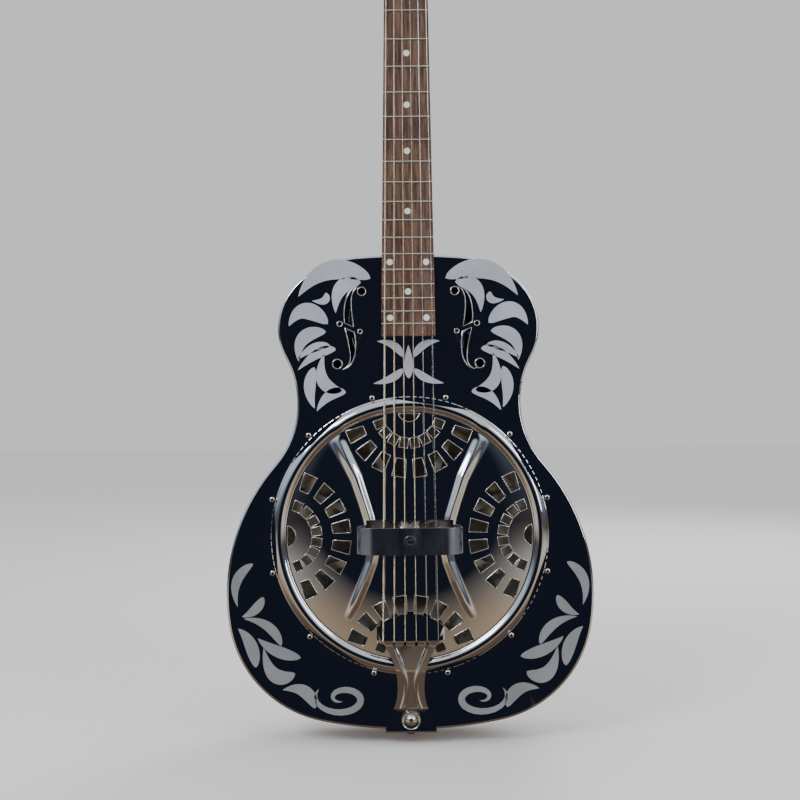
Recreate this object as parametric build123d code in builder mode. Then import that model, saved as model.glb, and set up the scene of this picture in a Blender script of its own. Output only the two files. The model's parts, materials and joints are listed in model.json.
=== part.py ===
from build123d import *
import os
from math import cos, degrees, pi, radians, sin, sqrt, tan

os.makedirs("parts", exist_ok=True)

# ------------------------------------------------------------------ driving dimensions (mm)
# Strings and neck. The neck's frame has x across, y up the neck and z towards the player,
# with its origin on the centreline, at the nut's upper face, on the fretboard's underside.
SCALE_LENGTH = 635.0
COMPENSATION = 3.5
FRET_COUNT = 19
NECK_TILT = 2.5
HEAD_TILT = 14.0
NUT_LENGTH = 5.0
NUT_WIDTH = 42.5
NUT_STRING_HEIGHT = 7.5
NUT_COVER = 0.3
BOARD_LENGTH = 435.0
BOARD_JOIN_WIDTH = 52.7
BOARD_THICKNESS = 6.0
JOIN_FRET = 14
FRET_CROWN_WIDTH = 2.6
FRET_CROWN_HEIGHT = 1.1
FRET_TANG_WIDTH = 0.6
FRET_TANG_DEPTH = 1.6
FRET_SIDE_SETBACK = 0.25
DOT_RADIUS = 3.2
DOT_DEPTH = 1.5
DOT_PAIR_HALF = 18.5
SINGLE_DOTS = (5, 7, 9, 12, 17)
PAIRED_DOTS = (15, 19)
NECK_DEPTH_NUT = 16.0
NECK_DEPTH_HEEL = 18.0
STRING_GAUGES = (0.41, 0.46, 0.66, 0.91, 1.17, 1.42)
STRING_SPREAD_NUT = 38.8
STRING_SPREAD_SADDLE = 52.7
STRING_SPREAD_TAIL = 55.7
STRING_RISE_SADDLE = 11.5
STRING_FIT = 0.03
STRING_BEND = 1.2

# Body. Its frame has x across, y up and z out of the top, with its origin under the saddle.
# Each arc is a radius and a turn in degrees, from the bottom centre up one side.
BODY_ARCS = ((463.0, 11.3), (119.5, 70.3), (202.5, 49.6), (95.5, -69.7), (64.0, 77.1), (99.0, 36.6))
BODY_BELOW = 198.8
BODY_DEPTH = 82.0
BODY_SHEET = 1.0
BODY_RIM = 7.0
BODY_EDGE = 2.5
SEAT_FIT = 0.05
BOARD_LIFT = 0.3

# Coverplate. Its flange rests on the top, and its bead and dome stand over the cone's well.
COVER_RADIUS = 149.0
COVER_SHEET = 0.9
COVER_FLANGE_WIDTH = 8.0
COVER_SCREW_INSET = 4.0
COVER_SCREW_CIRCLE = COVER_RADIUS - COVER_SCREW_INSET
COVER_SCREW_COUNT = 12
COVER_SCREW_START = 15.0
COVER_SCREW_HEAD = 2.7
COVER_SCREW_HEAD_HEIGHT = 1.7
COVER_SCREW_ROUNDING = 1.4
COVER_SCREW_SHANK = 1.4
COVER_SCREW_LENGTH = 5.0
BEAD_WIDTH = 14.5
BEAD_OUTER = COVER_RADIUS - COVER_FLANGE_WIDTH
BEAD_TOP_RADIUS = BEAD_OUTER - 7.0
BEAD_TOP_HEIGHT = 6.4
BEAD_INNER = BEAD_OUTER - BEAD_WIDTH
BEAD_INNER_HEIGHT = 3.2
DOME_HEIGHT = 13.0
FAN_CENTRE = BEAD_INNER + 0.5
FAN_EYE = 11.2
FAN_EYE_LIMIT = BEAD_INNER - 2.0
FAN_ROWS = ((27.5, 38.0, 9.2, 8.2), (49.0, 67.5, 14.0, 9.6))
FAN_ANGLES = (-66.5, -47.5, -28.5, -9.5, 9.5, 28.5, 47.5, 66.5)
COVER_OPENING = (88.0, 34.0)

# The well that the cone sits in, under the coverplate's bead
WELL_INSET = 5.0
WELL_OPENING = BEAD_OUTER - WELL_INSET
WELL_DEPTH = 14.0
WELL_LEDGE_RADIUS = WELL_OPENING - 8.0
WELL_FLANGE_RADIUS = WELL_OPENING + 4.5

# Hand rest over the saddle
REST_LENGTH = 107.0
REST_FLAT = 72.0
REST_WIDTH = 27.0
REST_HEIGHT = 29.2
REST_SHEET = 1.2
REST_OFFSET = -3.0
REST_HOLE = 3.0
REST_COLLAR = 5.7
REST_COLLAR_HEIGHT = 0.7
REST_FIT = 0.12

# Resonator
CONE_RADIUS = WELL_OPENING - 5.0
CONE_SHEET = 0.6
CONE_RIM_WIDTH = 9.0
CONE_VALLEY = (45.0, -38.0)
CONE_PEAK = (8.0, -22.0)
SPIDER_LEGS = 8
SPIDER_LEG_WIDTH = 7.0
SPIDER_FOOT_RADIUS = CONE_RADIUS - 2.0
SPIDER_FOOT_LENGTH = 6.0
SPIDER_DISC = (17.0, -3.0, 7.0)
SPIDER_HUB = (64.0, 13.0)
SPIDER_HUB_TOP = 17.0
SPIDER_SCREW_RADIUS = 2.0
SPIDER_SCREW_HEAD = 3.0
SPIDER_SCREW_HEAD_HEIGHT = 2.2
SPIDER_SCREW_SINK = 3.0
SPIDER_SCREW_SLOT = (0.8, 1.0)
SPIDER_SCREW_TAIL = 4.0
SADDLE_THICKNESS = 3.2
SADDLE_SLOT_DEPTH = 6.0
SADDLE_INNER = 3.2
SADDLE_OUTER = 29.5

# Tailpiece
TAIL_HOOD_HALF = 34.0
TAIL_HOOD_TOP = 16.6
TAIL_HOOD_THICKNESS = 4.0
# The hood's upper and lower edges, as the reach at the ends and in the middle.
TAIL_HOOD_NEAR = (91.0, 77.6)
TAIL_HOOD_FAR = (103.0, 107.5)
TAIL_SHEET = 2.0
TAIL_NOTCH = 2.6
TAIL_STRING_REACH = 105.5
TAIL_WRAP_DROP = 45.0
TAIL_WRAP_GAP = 0.5
TAIL_SCREW_INSET = 11.1
TAIL_SCREW_REACH = BODY_BELOW - TAIL_SCREW_INSET
TAIL_SCREW_HEAD = 6.0
TAIL_CUP_RADIUS = 10.0
TAIL_CUP_HEIGHT = 1.6
TAIL_CUP_LIP = 1.2
TAIL_CUP_FLOOR = 0.8
BALL_RADIUS = 2.1
BALL_LENGTH = 3.6
END_PIN_DEPTH = 33.0
END_PIN_RADIUS = 4.0
END_PIN_HEAD = 7.0
END_PIN_REACH = 10.5

# Wood inside the body and at its joint with the neck
TENON = (26.0, 32.0)
TENON_TOP = 30.0
TENON_LENGTH = 16.0
STICK_WIDTH = 28.0
STICK_HEIGHT = 22.0
STICK_BLOCK = (60.0, 22.0)
TAIL_BLOCK = (52.0, 22.0)
BLOCK_TOP = 17.0
STICK_BACK_GAP = 3.0
# The neck's heel, as (depth under the top, half width, half length) of its sections.
HEEL_SECTIONS = ((6.0, 25.0, 46.0), (22.0, 20.0, 29.0), (45.0, 15.5, 21.0), (73.0, 13.5, 18.0))

# Headstock and truss rod
HEAD_THICKNESS = 15.0
HEAD_LENGTH = 178.0
HEAD_HALF_WIDTH = 34.0
VENEER = 1.5
ROD_RADIUS = 2.5
ROD_DEPTH = 6.0
ROD_NUT_FLATS = 7.0
ROD_NUT_LENGTH = 7.0
ROD_POCKET = (11.0, 24.0)
ROD_COVER_THICKNESS = 1.6
SMALL_SCREW_HEAD = 2.0
SMALL_SCREW_SHANK = 0.9

# Tuners
POST_ROWS = (42.0, 78.5, 115.0)
ROW_OF_STRING = (0, 1, 2, 2, 1, 0)
POST_X = 21.0
POST_RADIUS = 3.175
POST_TOP = 16.0
SHAFT_FIT = 0.06
BUSHING_RADIUS = POST_RADIUS + 1.425
BUSHING_FLANGE = BUSHING_RADIUS + 1.4
BUSHING_FLANGE_HEIGHT = 0.9
BUSHING_DEPTH = 8.0
PLATE_THICKNESS = 1.2
PLATE_SPAN = (14.0, 31.0)
GEAR_TEETH = 14
WORM_LEAD = 2.7
WORM_TURNS = 3
WORM_CIRCLE = 2.75
WORM_THROW = 0.85
WORM_SHAFT = 1.5
WORM_PITCH_RADIUS = 2.754
WORM_DROP = 5.5
PITCH_RADIUS = GEAR_TEETH * WORM_LEAD / (2 * pi)
WORM_DISTANCE = PITCH_RADIUS + WORM_PITCH_RADIUS
GEAR_FACE = 2.2
GEAR_BORE = 1.6
# A tooth's root and tip, as the distance from the pitch circle and the half thickness.
GEAR_TIP = (0.654, 0.14)
GEAR_PITCH_HALF = 0.45
GEAR_ROOT = (-0.946, 0.85)
EAR_INNER = 4.6
EAR_THICKNESS = 1.5
BUTTON_START = 38.0
BUTTON_SIZE = (17.0, 13.0, 9.0)
BUTTON_ROUNDING = 1.4
BUTTON_COLLAR = 2.8
WINDING_TURNS = 3
WINDING_BASE = 3.6

# ------------------------------------------------------------------ frames


def tilted(degrees_back):
    """A plane across the headstock's foot that leans back by the given angle."""
    lean = radians(degrees_back)
    return Plane(origin=(0, 0, 0), x_dir=(1, 0, 0), z_dir=(0, -cos(lean), sin(lean)))


def outline_arcs():
    """The body's half outline as (centre x, centre y, radius, side, start angle, turn)."""
    arcs = []
    heading, x, y = 0.0, 0.0, -BODY_BELOW
    for radius, turn in BODY_ARCS:
        side = 1 if turn > 0 else -1
        cx = x - side * radius * sin(heading)
        cy = y + side * radius * cos(heading)
        arcs.append((cx, cy, radius, side, degrees(heading) - 90 * side, turn))
        heading += radians(turn)
        x = cx + side * radius * sin(heading)
        y = cy - side * radius * cos(heading)
    closing = x / sin(pi - heading)
    cy = y + closing * cos(heading)
    arcs.append((0.0, cy, closing, 1, degrees(heading) - 90, 180 - degrees(heading)))
    return arcs


NECK = tilted(NECK_TILT)
HEAD = tilted(NECK_TILT + HEAD_TILT)
ARCS = outline_arcs()
BODY_ABOVE = ARCS[-1][1] + ARCS[-1][2]
SADDLE = NECK.from_local_coords((0, -NUT_LENGTH - SCALE_LENGTH - COMPENSATION, STRING_RISE_SADDLE))
TOP_FACE_Y = (SADDLE.Z + BODY_ABOVE) * tan(radians(NECK_TILT)) + BOARD_LIFT
BODY = Plane(origin=(0, TOP_FACE_Y, SADDLE.Z), x_dir=(1, 0, 0), z_dir=(0, -1, 0))
SADDLE_HEIGHT = TOP_FACE_Y - SADDLE.Y
OUT_OF_TOP = Axis(BODY.origin, BODY.z_dir)
BOARD_END = -NUT_LENGTH - BOARD_LENGTH


def side_view(frame):
    """Side-on plane: local x runs up the frame and local y out of it."""
    return Plane(origin=frame.origin, x_dir=frame.y_dir, z_dir=(1, 0, 0))


def neck_section(along):
    """Cross-section plane of the neck: local y runs to the back."""
    return Plane(origin=NECK.from_local_coords((0, along, 0)), x_dir=(1, 0, 0), z_dir=NECK.y_dir)


def radial_view():
    """Plane through the body's axis: local x is the radius and local y the height over the top."""
    return Plane(origin=BODY.origin, x_dir=(1, 0, 0), z_dir=(0, 0, -1))


def fret_place(number):
    return -NUT_LENGTH - SCALE_LENGTH * (1 - 2 ** (-number / 12))


def board_half_width(along):
    join = fret_place(JOIN_FRET)
    return (NUT_WIDTH + (BOARD_JOIN_WIDTH - NUT_WIDTH) * (along + NUT_LENGTH) / (join + NUT_LENGTH)) / 2


def board_under(y):
    """Height over the top of the fretboard's underside, at a place on the body's centreline."""
    return TOP_FACE_Y - (BODY.origin.Z + y) * tan(radians(NECK_TILT))


def body_outline(inset=0.0):
    """The body's outline as a flat sketch, moved in by the given distance."""
    with BuildSketch() as outline:
        with BuildLine():
            for cx, cy, radius, side, start, turn in ARCS:
                CenterArc((cx, cy), radius - side * inset, start, turn)
            mirror(about=Plane.YZ)
        make_face()
    return outline.sketch_local


def box_between(frame, low, high, mode=Mode.ADD):
    """A block between two corners given in a frame."""
    with BuildSketch(frame.offset(low[2])) as footprint:
        with Locations(((low[0] + high[0]) / 2, (low[1] + high[1]) / 2)):
            Rectangle(high[0] - low[0], high[1] - low[1])
    extrude(footprint.sketch, amount=high[2] - low[2], mode=mode)


def rod_between(start, end, radius, mode=Mode.ADD):
    """A round rod, or a bore, from one point to another."""
    direction = end - start
    with BuildSketch(Plane(origin=start, z_dir=direction.normalized())) as end_face:
        Circle(radius)
    extrude(end_face.sketch, amount=direction.length, mode=mode)


def disc(frame, x, y, radius, low, high, mode=Mode.ADD):
    """A round disc standing on a frame, between two heights."""
    with BuildSketch(frame.offset(low)) as round_face:
        with Locations((x, y)):
            Circle(radius)
    extrude(round_face.sketch, amount=high - low, mode=mode)


def save(name, piece):
    piece.part.label = name
    export_step(piece.part, f"parts/{name}.step")


# ------------------------------------------------------------------ string routes


def string_route(index):
    """Points of one string, from its ball end to its post. Index 0 is the thin treble string."""
    radius = STRING_GAUGES[index] / 2
    share = 0.5 - index / 5
    row = ROW_OF_STRING[index]
    side = 1 if index < 3 else -1
    tail_x = share * STRING_SPREAD_TAIL
    bearing = TAIL_HOOD_TOP + STRING_FIT + radius
    ball = BODY.from_local_coords((tail_x, -TAIL_STRING_REACH, TAIL_HOOD_TOP - TAIL_HOOD_THICKNESS))
    notch = BODY.from_local_coords((tail_x, -TAIL_STRING_REACH, bearing))
    saddle = BODY.from_local_coords((share * STRING_SPREAD_SADDLE, 0, SADDLE_HEIGHT + radius))
    nut = NECK.from_local_coords((share * STRING_SPREAD_NUT, -NUT_LENGTH + 1, NUT_STRING_HEIGHT + radius))
    post_x = side * (POST_X - POST_RADIUS - SHAFT_FIT - radius)
    post = HEAD.from_local_coords((post_x, POST_ROWS[row], WINDING_BASE + radius))
    return ball, notch, saddle, nut, post


ROUTES = [string_route(index) for index in range(6)]

# ------------------------------------------------------------------ body

# The f-hole on the +X side: a long S-shaped slot crossed by a bar, with two large and two small eyes.
F_UPPER_TIP = (51.8, 254.0)
F_LOWER_TIP = (67.0, 169.6)
F_OUTER = ((59.5, 248.3), (64.7, 235.0), (64.6, 212.0), (59.7, 186.0), (61.2, 174.2))
F_INNER = ((60.5, 172.8), (54.9, 184.0), (54.7, 204.0), (58.2, 232.0), (57.0, 246.0))
F_EYES = ((47.5, 249.0, 4.2), (72.7, 175.0, 4.8), (70.0, 215.8, 2.6), (49.3, 208.0, 2.2))
F_BAR_PLACE = (59.5, 211.8)
F_BAR_SIZE = (24.0, 4.4)
F_BAR_TURN = 24.9


def f_hole():
    """The slot, its bar and its four eyes, as a flat sketch."""
    with BuildSketch() as hole:
        with BuildLine():
            Spline(F_UPPER_TIP, *F_OUTER, F_LOWER_TIP)
            Spline(F_LOWER_TIP, *F_INNER, F_UPPER_TIP)
        make_face()
        with Locations(Location(F_BAR_PLACE, F_BAR_TURN)):
            Rectangle(*F_BAR_SIZE, mode=Mode.SUBTRACT)
        for eye_x, eye_y, eye_radius in F_EYES:
            with Locations((eye_x, eye_y)):
                Circle(eye_radius)
    return hole.sketch_local


with BuildPart() as body_top:
    with BuildSketch(BODY.offset(-BODY_RIM)):
        add(body_outline())
    extrude(amount=BODY_RIM)
    fillet(body_top.edges().group_by(Axis.Y)[0], BODY_EDGE)
    with BuildSketch(BODY.offset(-BODY_RIM)):
        add(body_outline(BODY_SHEET))
    extrude(amount=BODY_RIM - BODY_SHEET, mode=Mode.SUBTRACT)
    with BuildSketch(BODY.offset(-BODY_RIM)):
        Circle(WELL_OPENING)
        with PolarLocations(COVER_SCREW_CIRCLE, COVER_SCREW_COUNT, start_angle=COVER_SCREW_START):
            Circle(COVER_SCREW_SHANK)
        with Locations((0, -TAIL_SCREW_REACH)):
            Circle(COVER_SCREW_SHANK)
        add(f_hole())
        add(f_hole().mirror(Plane.YZ))
    extrude(amount=BODY_RIM, mode=Mode.SUBTRACT)
save("body_top", body_top)

with BuildPart() as body_sides:
    with BuildSketch(BODY.offset(-BODY_DEPTH + BODY_SHEET + SEAT_FIT)):
        add(body_outline(BODY_SHEET + SEAT_FIT))
    extrude(amount=BODY_DEPTH - 2 * BODY_SHEET - 2 * SEAT_FIT)
    with BuildSketch(BODY.offset(-BODY_DEPTH)):
        add(body_outline(2 * BODY_SHEET + SEAT_FIT))
    extrude(amount=BODY_DEPTH, mode=Mode.SUBTRACT)
    half_tenon = TENON[0] / 2 + SEAT_FIT
    box_between(BODY, (-half_tenon, BODY_ABOVE - 8, -TENON_TOP - TENON[1] - SEAT_FIT),
                (half_tenon, BODY_ABOVE + 4, -TENON_TOP + SEAT_FIT), Mode.SUBTRACT)
    rod_between(BODY.from_local_coords((0, -BODY_BELOW + 8, -END_PIN_DEPTH)),
                BODY.from_local_coords((0, -BODY_BELOW - 4, -END_PIN_DEPTH)), END_PIN_RADIUS, Mode.SUBTRACT)
save("body_sides", body_sides)

with BuildPart() as body_back:
    with BuildSketch(BODY.offset(-BODY_DEPTH)):
        add(body_outline())
    extrude(amount=BODY_RIM)
    fillet(body_back.edges().group_by(Axis.Y)[-1], BODY_EDGE)
    with BuildSketch(BODY.offset(-BODY_DEPTH + BODY_SHEET)):
        add(body_outline(BODY_SHEET))
    extrude(amount=BODY_RIM, mode=Mode.SUBTRACT)
save("body_back", body_back)

with BuildPart() as cone_well:
    wall_inner = WELL_OPENING
    wall_outer = WELL_OPENING + BODY_SHEET
    under_top = -BODY_SHEET - SEAT_FIT
    ledge_top = -WELL_DEPTH
    with BuildSketch(radial_view()):
        with BuildLine():
            Polyline(
                (WELL_FLANGE_RADIUS, under_top),
                (wall_inner, under_top),
                (wall_inner, ledge_top),
                (WELL_LEDGE_RADIUS, ledge_top),
                (WELL_LEDGE_RADIUS, ledge_top - BODY_SHEET),
                (wall_outer, ledge_top - BODY_SHEET),
                (wall_outer, under_top - BODY_SHEET),
                (WELL_FLANGE_RADIUS, under_top - BODY_SHEET),
                close=True,
            )
        make_face()
    revolve(axis=OUT_OF_TOP)
save("cone_well", cone_well)

# The neck's tenon sits in a block at the upper end of the stick, which runs to the tail block.
INSIDE = 2 * BODY_SHEET + 3 * SEAT_FIT
STICK_LOW = -BODY_DEPTH + BODY_SHEET + STICK_BACK_GAP
with BuildPart() as neck_stick:
    block_low = BODY_ABOVE - TENON_LENGTH - STICK_BLOCK[1] / 2
    box_between(BODY, (-STICK_BLOCK[0] / 2, block_low, STICK_LOW),
                (STICK_BLOCK[0] / 2, BODY_ABOVE, -BLOCK_TOP))
    box_between(BODY, (-STICK_WIDTH / 2, -BODY_BELOW + TAIL_BLOCK[1] + SEAT_FIT, STICK_LOW),
                (STICK_WIDTH / 2, block_low, STICK_LOW + STICK_HEIGHT))
    with BuildSketch(BODY.offset(-BODY_DEPTH)):
        add(body_outline(INSIDE))
    extrude(amount=BODY_DEPTH, mode=Mode.INTERSECT)
    box_between(BODY, (-half_tenon, BODY_ABOVE - TENON_LENGTH - SEAT_FIT, -TENON_TOP - TENON[1] - SEAT_FIT),
                (half_tenon, BODY_ABOVE, -TENON_TOP + SEAT_FIT), Mode.SUBTRACT)
save("neck_stick", neck_stick)

with BuildPart() as tail_block:
    box_between(BODY, (-TAIL_BLOCK[0] / 2, -BODY_BELOW, STICK_LOW),
                (TAIL_BLOCK[0] / 2, -BODY_BELOW + TAIL_BLOCK[1], -2 * BODY_SHEET))
    with BuildSketch(BODY.offset(-BODY_DEPTH)):
        add(body_outline(INSIDE))
    extrude(amount=BODY_DEPTH, mode=Mode.INTERSECT)
    rod_between(BODY.from_local_coords((0, -BODY_BELOW - 4, -END_PIN_DEPTH)),
                BODY.from_local_coords((0, -BODY_BELOW + TAIL_BLOCK[1] - 3, -END_PIN_DEPTH)),
                END_PIN_RADIUS, Mode.SUBTRACT)
    disc(BODY, 0, -TAIL_SCREW_REACH, COVER_SCREW_SHANK, -14, 0, Mode.SUBTRACT)
save("tail_block", tail_block)

# ------------------------------------------------------------------ coverplate and hand rest


def dome_surface(radius):
    """Height of the coverplate's dome over the top, at a distance from its centre."""
    rise = DOME_HEIGHT - BEAD_INNER_HEIGHT
    ball = (BEAD_INNER ** 2 + rise ** 2) / (2 * rise)
    return DOME_HEIGHT - ball + sqrt(ball ** 2 - radius ** 2)


def cover_curve(drop):
    """The coverplate's surface from its rim to its centre, lowered by a distance."""
    middle = BEAD_INNER / 2
    flange = SEAT_FIT + COVER_SHEET
    Line((COVER_RADIUS, flange - drop), (BEAD_OUTER, flange - drop))
    ThreePointArc((BEAD_OUTER, flange - drop), (BEAD_TOP_RADIUS, BEAD_TOP_HEIGHT - drop),
                  (BEAD_INNER, BEAD_INNER_HEIGHT - drop))
    ThreePointArc((BEAD_INNER, BEAD_INNER_HEIGHT - drop), (middle, dome_surface(middle) - drop),
                  (0, DOME_HEIGHT - drop))


def fan_holes():
    """A fan of cut-outs on the +X side: a half-moon eye and two rows that face the centre."""
    with BuildSketch() as fan:
        Circle(FAN_EYE_LIMIT)
        with Locations((FAN_CENTRE, 0)):
            Circle(FAN_EYE, mode=Mode.INTERSECT)
        for near, far, far_width, near_width in FAN_ROWS:
            for angle in FAN_ANGLES:
                turn = radians(180 + angle)
                corners = ((near, -near_width / 2), (far, -far_width / 2), (far, far_width / 2),
                           (near, near_width / 2))
                Polygon(*[(FAN_CENTRE + reach * cos(turn) - across * sin(turn),
                           reach * sin(turn) + across * cos(turn)) for reach, across in corners], align=None)
    return fan.sketch_local


with BuildPart() as coverplate:
    with BuildSketch(radial_view()):
        with BuildLine():
            cover_curve(0)
            cover_curve(COVER_SHEET)
            Line((COVER_RADIUS, SEAT_FIT), (COVER_RADIUS, SEAT_FIT + COVER_SHEET))
            Line((0, DOME_HEIGHT - COVER_SHEET), (0, DOME_HEIGHT))
        make_face()
    revolve(axis=OUT_OF_TOP)
    with BuildSketch(BODY.offset(-1)):
        for quarter in range(4):
            add(fan_holes(), rotation=90 * quarter)
        Rectangle(*COVER_OPENING)
        with PolarLocations(COVER_SCREW_CIRCLE, COVER_SCREW_COUNT, start_angle=COVER_SCREW_START):
            Circle(COVER_SCREW_SHANK)
    extrude(amount=DOME_HEIGHT + 2, mode=Mode.SUBTRACT)
save("coverplate", coverplate)

with BuildPart() as coverplate_screws:
    seat = SEAT_FIT + COVER_SHEET
    with BuildSketch(BODY.offset(-COVER_SCREW_LENGTH)):
        with PolarLocations(COVER_SCREW_CIRCLE, COVER_SCREW_COUNT, start_angle=COVER_SCREW_START):
            Circle(COVER_SCREW_SHANK)
    extrude(amount=COVER_SCREW_LENGTH + seat)
    with BuildSketch(BODY.offset(seat)):
        with PolarLocations(COVER_SCREW_CIRCLE, COVER_SCREW_COUNT, start_angle=COVER_SCREW_START):
            Circle(COVER_SCREW_HEAD)
    extrude(amount=COVER_SCREW_HEAD_HEIGHT)
    fillet(coverplate_screws.edges().group_by(Axis.Y)[0], COVER_SCREW_ROUNDING)
save("coverplate_screws", coverplate_screws)

with BuildPart() as hand_rest:
    half, bend = REST_LENGTH / 2, (REST_LENGTH - REST_FLAT) / 2
    foot = dome_surface(half - REST_SHEET) + REST_FIT
    rest_middle = BODY.from_local_coords((0, REST_OFFSET, 0))
    rest_plane = Plane(origin=rest_middle, x_dir=(1, 0, 0), z_dir=(0, 0, -1))
    with BuildSketch(rest_plane):
        with BuildLine():
            for inward in (0.0, REST_SHEET):
                reach, top = half - inward, REST_HEIGHT - inward
                Line((-reach + bend - inward, top), (reach - bend + inward, top))
                RadiusArc((reach - bend + inward, top), (reach, top - bend + inward), bend - inward)
                RadiusArc((-reach, top - bend + inward), (-reach + bend - inward, top), bend - inward)
                Line((reach, top - bend + inward), (reach, foot))
                Line((-reach, top - bend + inward), (-reach, foot))
            Line((half, foot), (half - REST_SHEET, foot))
            Line((-half, foot), (-half + REST_SHEET, foot))
        make_face()
    extrude(amount=REST_WIDTH / 2, both=True)
    rest_under = REST_HEIGHT - REST_SHEET
    disc(BODY, 0, REST_OFFSET, REST_COLLAR, rest_under, REST_HEIGHT + REST_COLLAR_HEIGHT)
    disc(BODY, 0, REST_OFFSET, REST_HOLE, rest_under - 1, REST_HEIGHT + REST_COLLAR_HEIGHT + 1, Mode.SUBTRACT)
save("hand_rest", hand_rest)

# ------------------------------------------------------------------ resonator

RIM_TOP = -WELL_DEPTH + SEAT_FIT + CONE_SHEET
with BuildPart() as resonator_cone:
    with BuildSketch(radial_view()):
        with BuildLine():
            for drop in (0.0, CONE_SHEET):
                Polyline(
                    (CONE_RADIUS, RIM_TOP - drop),
                    (CONE_RADIUS - CONE_RIM_WIDTH, RIM_TOP - drop),
                    (CONE_VALLEY[0], CONE_VALLEY[1] - drop),
                    (CONE_PEAK[0], CONE_PEAK[1] - drop),
                    (SPIDER_SCREW_RADIUS, CONE_PEAK[1] - drop),
                )
            Line((CONE_RADIUS, RIM_TOP), (CONE_RADIUS, RIM_TOP - CONE_SHEET))
            Line((SPIDER_SCREW_RADIUS, CONE_PEAK[1]), (SPIDER_SCREW_RADIUS, CONE_PEAK[1] - CONE_SHEET))
        make_face()
    revolve(axis=OUT_OF_TOP)
save("resonator_cone", resonator_cone)

FOOT_LOW = RIM_TOP + SEAT_FIT
# A spider leg in side view, as (radius, height): its root at the hub and its knee's underside.
LEG_ROOT = ((5.0, -3.0), (5.0, 9.0), (28.0, 7.0))
LEG_UNDER = (28.0, -1.0)
LEG_FOOT_HEIGHT = 4.0
with BuildPart() as spider_bridge:
    for leg in range(SPIDER_LEGS):
        around = radians(360 / SPIDER_LEGS * (leg + 0.5))
        outward = BODY.x_dir * cos(around) + BODY.y_dir * sin(around)
        across = outward.cross(BODY.z_dir)
        with BuildSketch(Plane(origin=BODY.origin, x_dir=outward, z_dir=across)):
            toe, instep = SPIDER_FOOT_RADIUS, SPIDER_FOOT_RADIUS - SPIDER_FOOT_LENGTH
            Polygon(*LEG_ROOT, (toe, FOOT_LOW + LEG_FOOT_HEIGHT), (toe, FOOT_LOW), (instep, FOOT_LOW),
                    LEG_UNDER, align=None)
        extrude(amount=SPIDER_LEG_WIDTH / 2, both=True)
    disc(BODY, 0, 0, *SPIDER_DISC)
    half_hub, half_bar = SPIDER_HUB[0] / 2, SPIDER_HUB[1] / 2
    box_between(BODY, (-half_hub, -half_bar, 0), (half_hub, half_bar, SPIDER_HUB_TOP))
    slot = SADDLE_THICKNESS / 2 + STRING_FIT
    slot_floor = SPIDER_HUB_TOP - SADDLE_SLOT_DEPTH - STRING_FIT
    for hand in (-1, 1):
        near, far = sorted((hand * (SADDLE_INNER - STRING_FIT), hand * (SADDLE_OUTER + STRING_FIT)))
        box_between(BODY, (near, -slot, slot_floor), (far, slot, SPIDER_HUB_TOP + 1), Mode.SUBTRACT)
    disc(BODY, 0, 0, SPIDER_SCREW_RADIUS + SHAFT_FIT, SPIDER_DISC[1] - 1, SPIDER_HUB_TOP + 1, Mode.SUBTRACT)
    disc(BODY, 0, 0, SPIDER_SCREW_HEAD + 0.1, SPIDER_HUB_TOP - SPIDER_SCREW_SINK, SPIDER_HUB_TOP + 1,
         Mode.SUBTRACT)
save("spider_bridge", spider_bridge)

with BuildPart() as saddle_inserts:
    half_saddle = SADDLE_THICKNESS / 2
    for hand in (-1, 1):
        near, far = sorted((hand * SADDLE_INNER, hand * SADDLE_OUTER))
        box_between(BODY, (near, -half_saddle, slot_floor + STRING_FIT),
                    (far, half_saddle, SADDLE_HEIGHT + NUT_COVER))
    for index, route in enumerate(ROUTES):
        groove = STRING_GAUGES[index] / 2 + STRING_FIT
        for towards in (route[1], route[3]):
            away = (route[2] - towards).normalized()
            rod_between(route[2] + away * 0.3, route[2] - away * 12, groove, Mode.SUBTRACT)
save("saddle_inserts", saddle_inserts)

with BuildPart() as spider_screw:
    head_low = SPIDER_HUB_TOP - SPIDER_SCREW_SINK + SEAT_FIT
    head_top = head_low + SPIDER_SCREW_HEAD_HEIGHT
    half_slot, slot_depth = SPIDER_SCREW_SLOT[0] / 2, SPIDER_SCREW_SLOT[1]
    disc(BODY, 0, 0, SPIDER_SCREW_RADIUS, CONE_PEAK[1] - CONE_SHEET - SPIDER_SCREW_TAIL, head_low)
    disc(BODY, 0, 0, SPIDER_SCREW_HEAD, head_low, head_top)
    box_between(BODY, (-SPIDER_SCREW_HEAD - 1, -half_slot, head_top - slot_depth),
                (SPIDER_SCREW_HEAD + 1, half_slot, head_top + 1), Mode.SUBTRACT)
save("spider_screw", spider_screw)

# ------------------------------------------------------------------ tailpiece

# Half widths of the tailpiece's arm down its length, as (reach, half width).
ARM_SIDE = ((96.0, 30.0), (107.0, 27.0), (125.0, 18.5), (154.0, 13.6), (175.0, 17.0), (193.0, 25.0),
            (206.0, 25.0))
# The arm's underside in side view, as (reach, height), from the hood to the body's end.
ARM_UNDER = ((96.0, 12.4), (136.0, 9.2), (158.0, 4.2), (176.5, 0.6))

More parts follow.
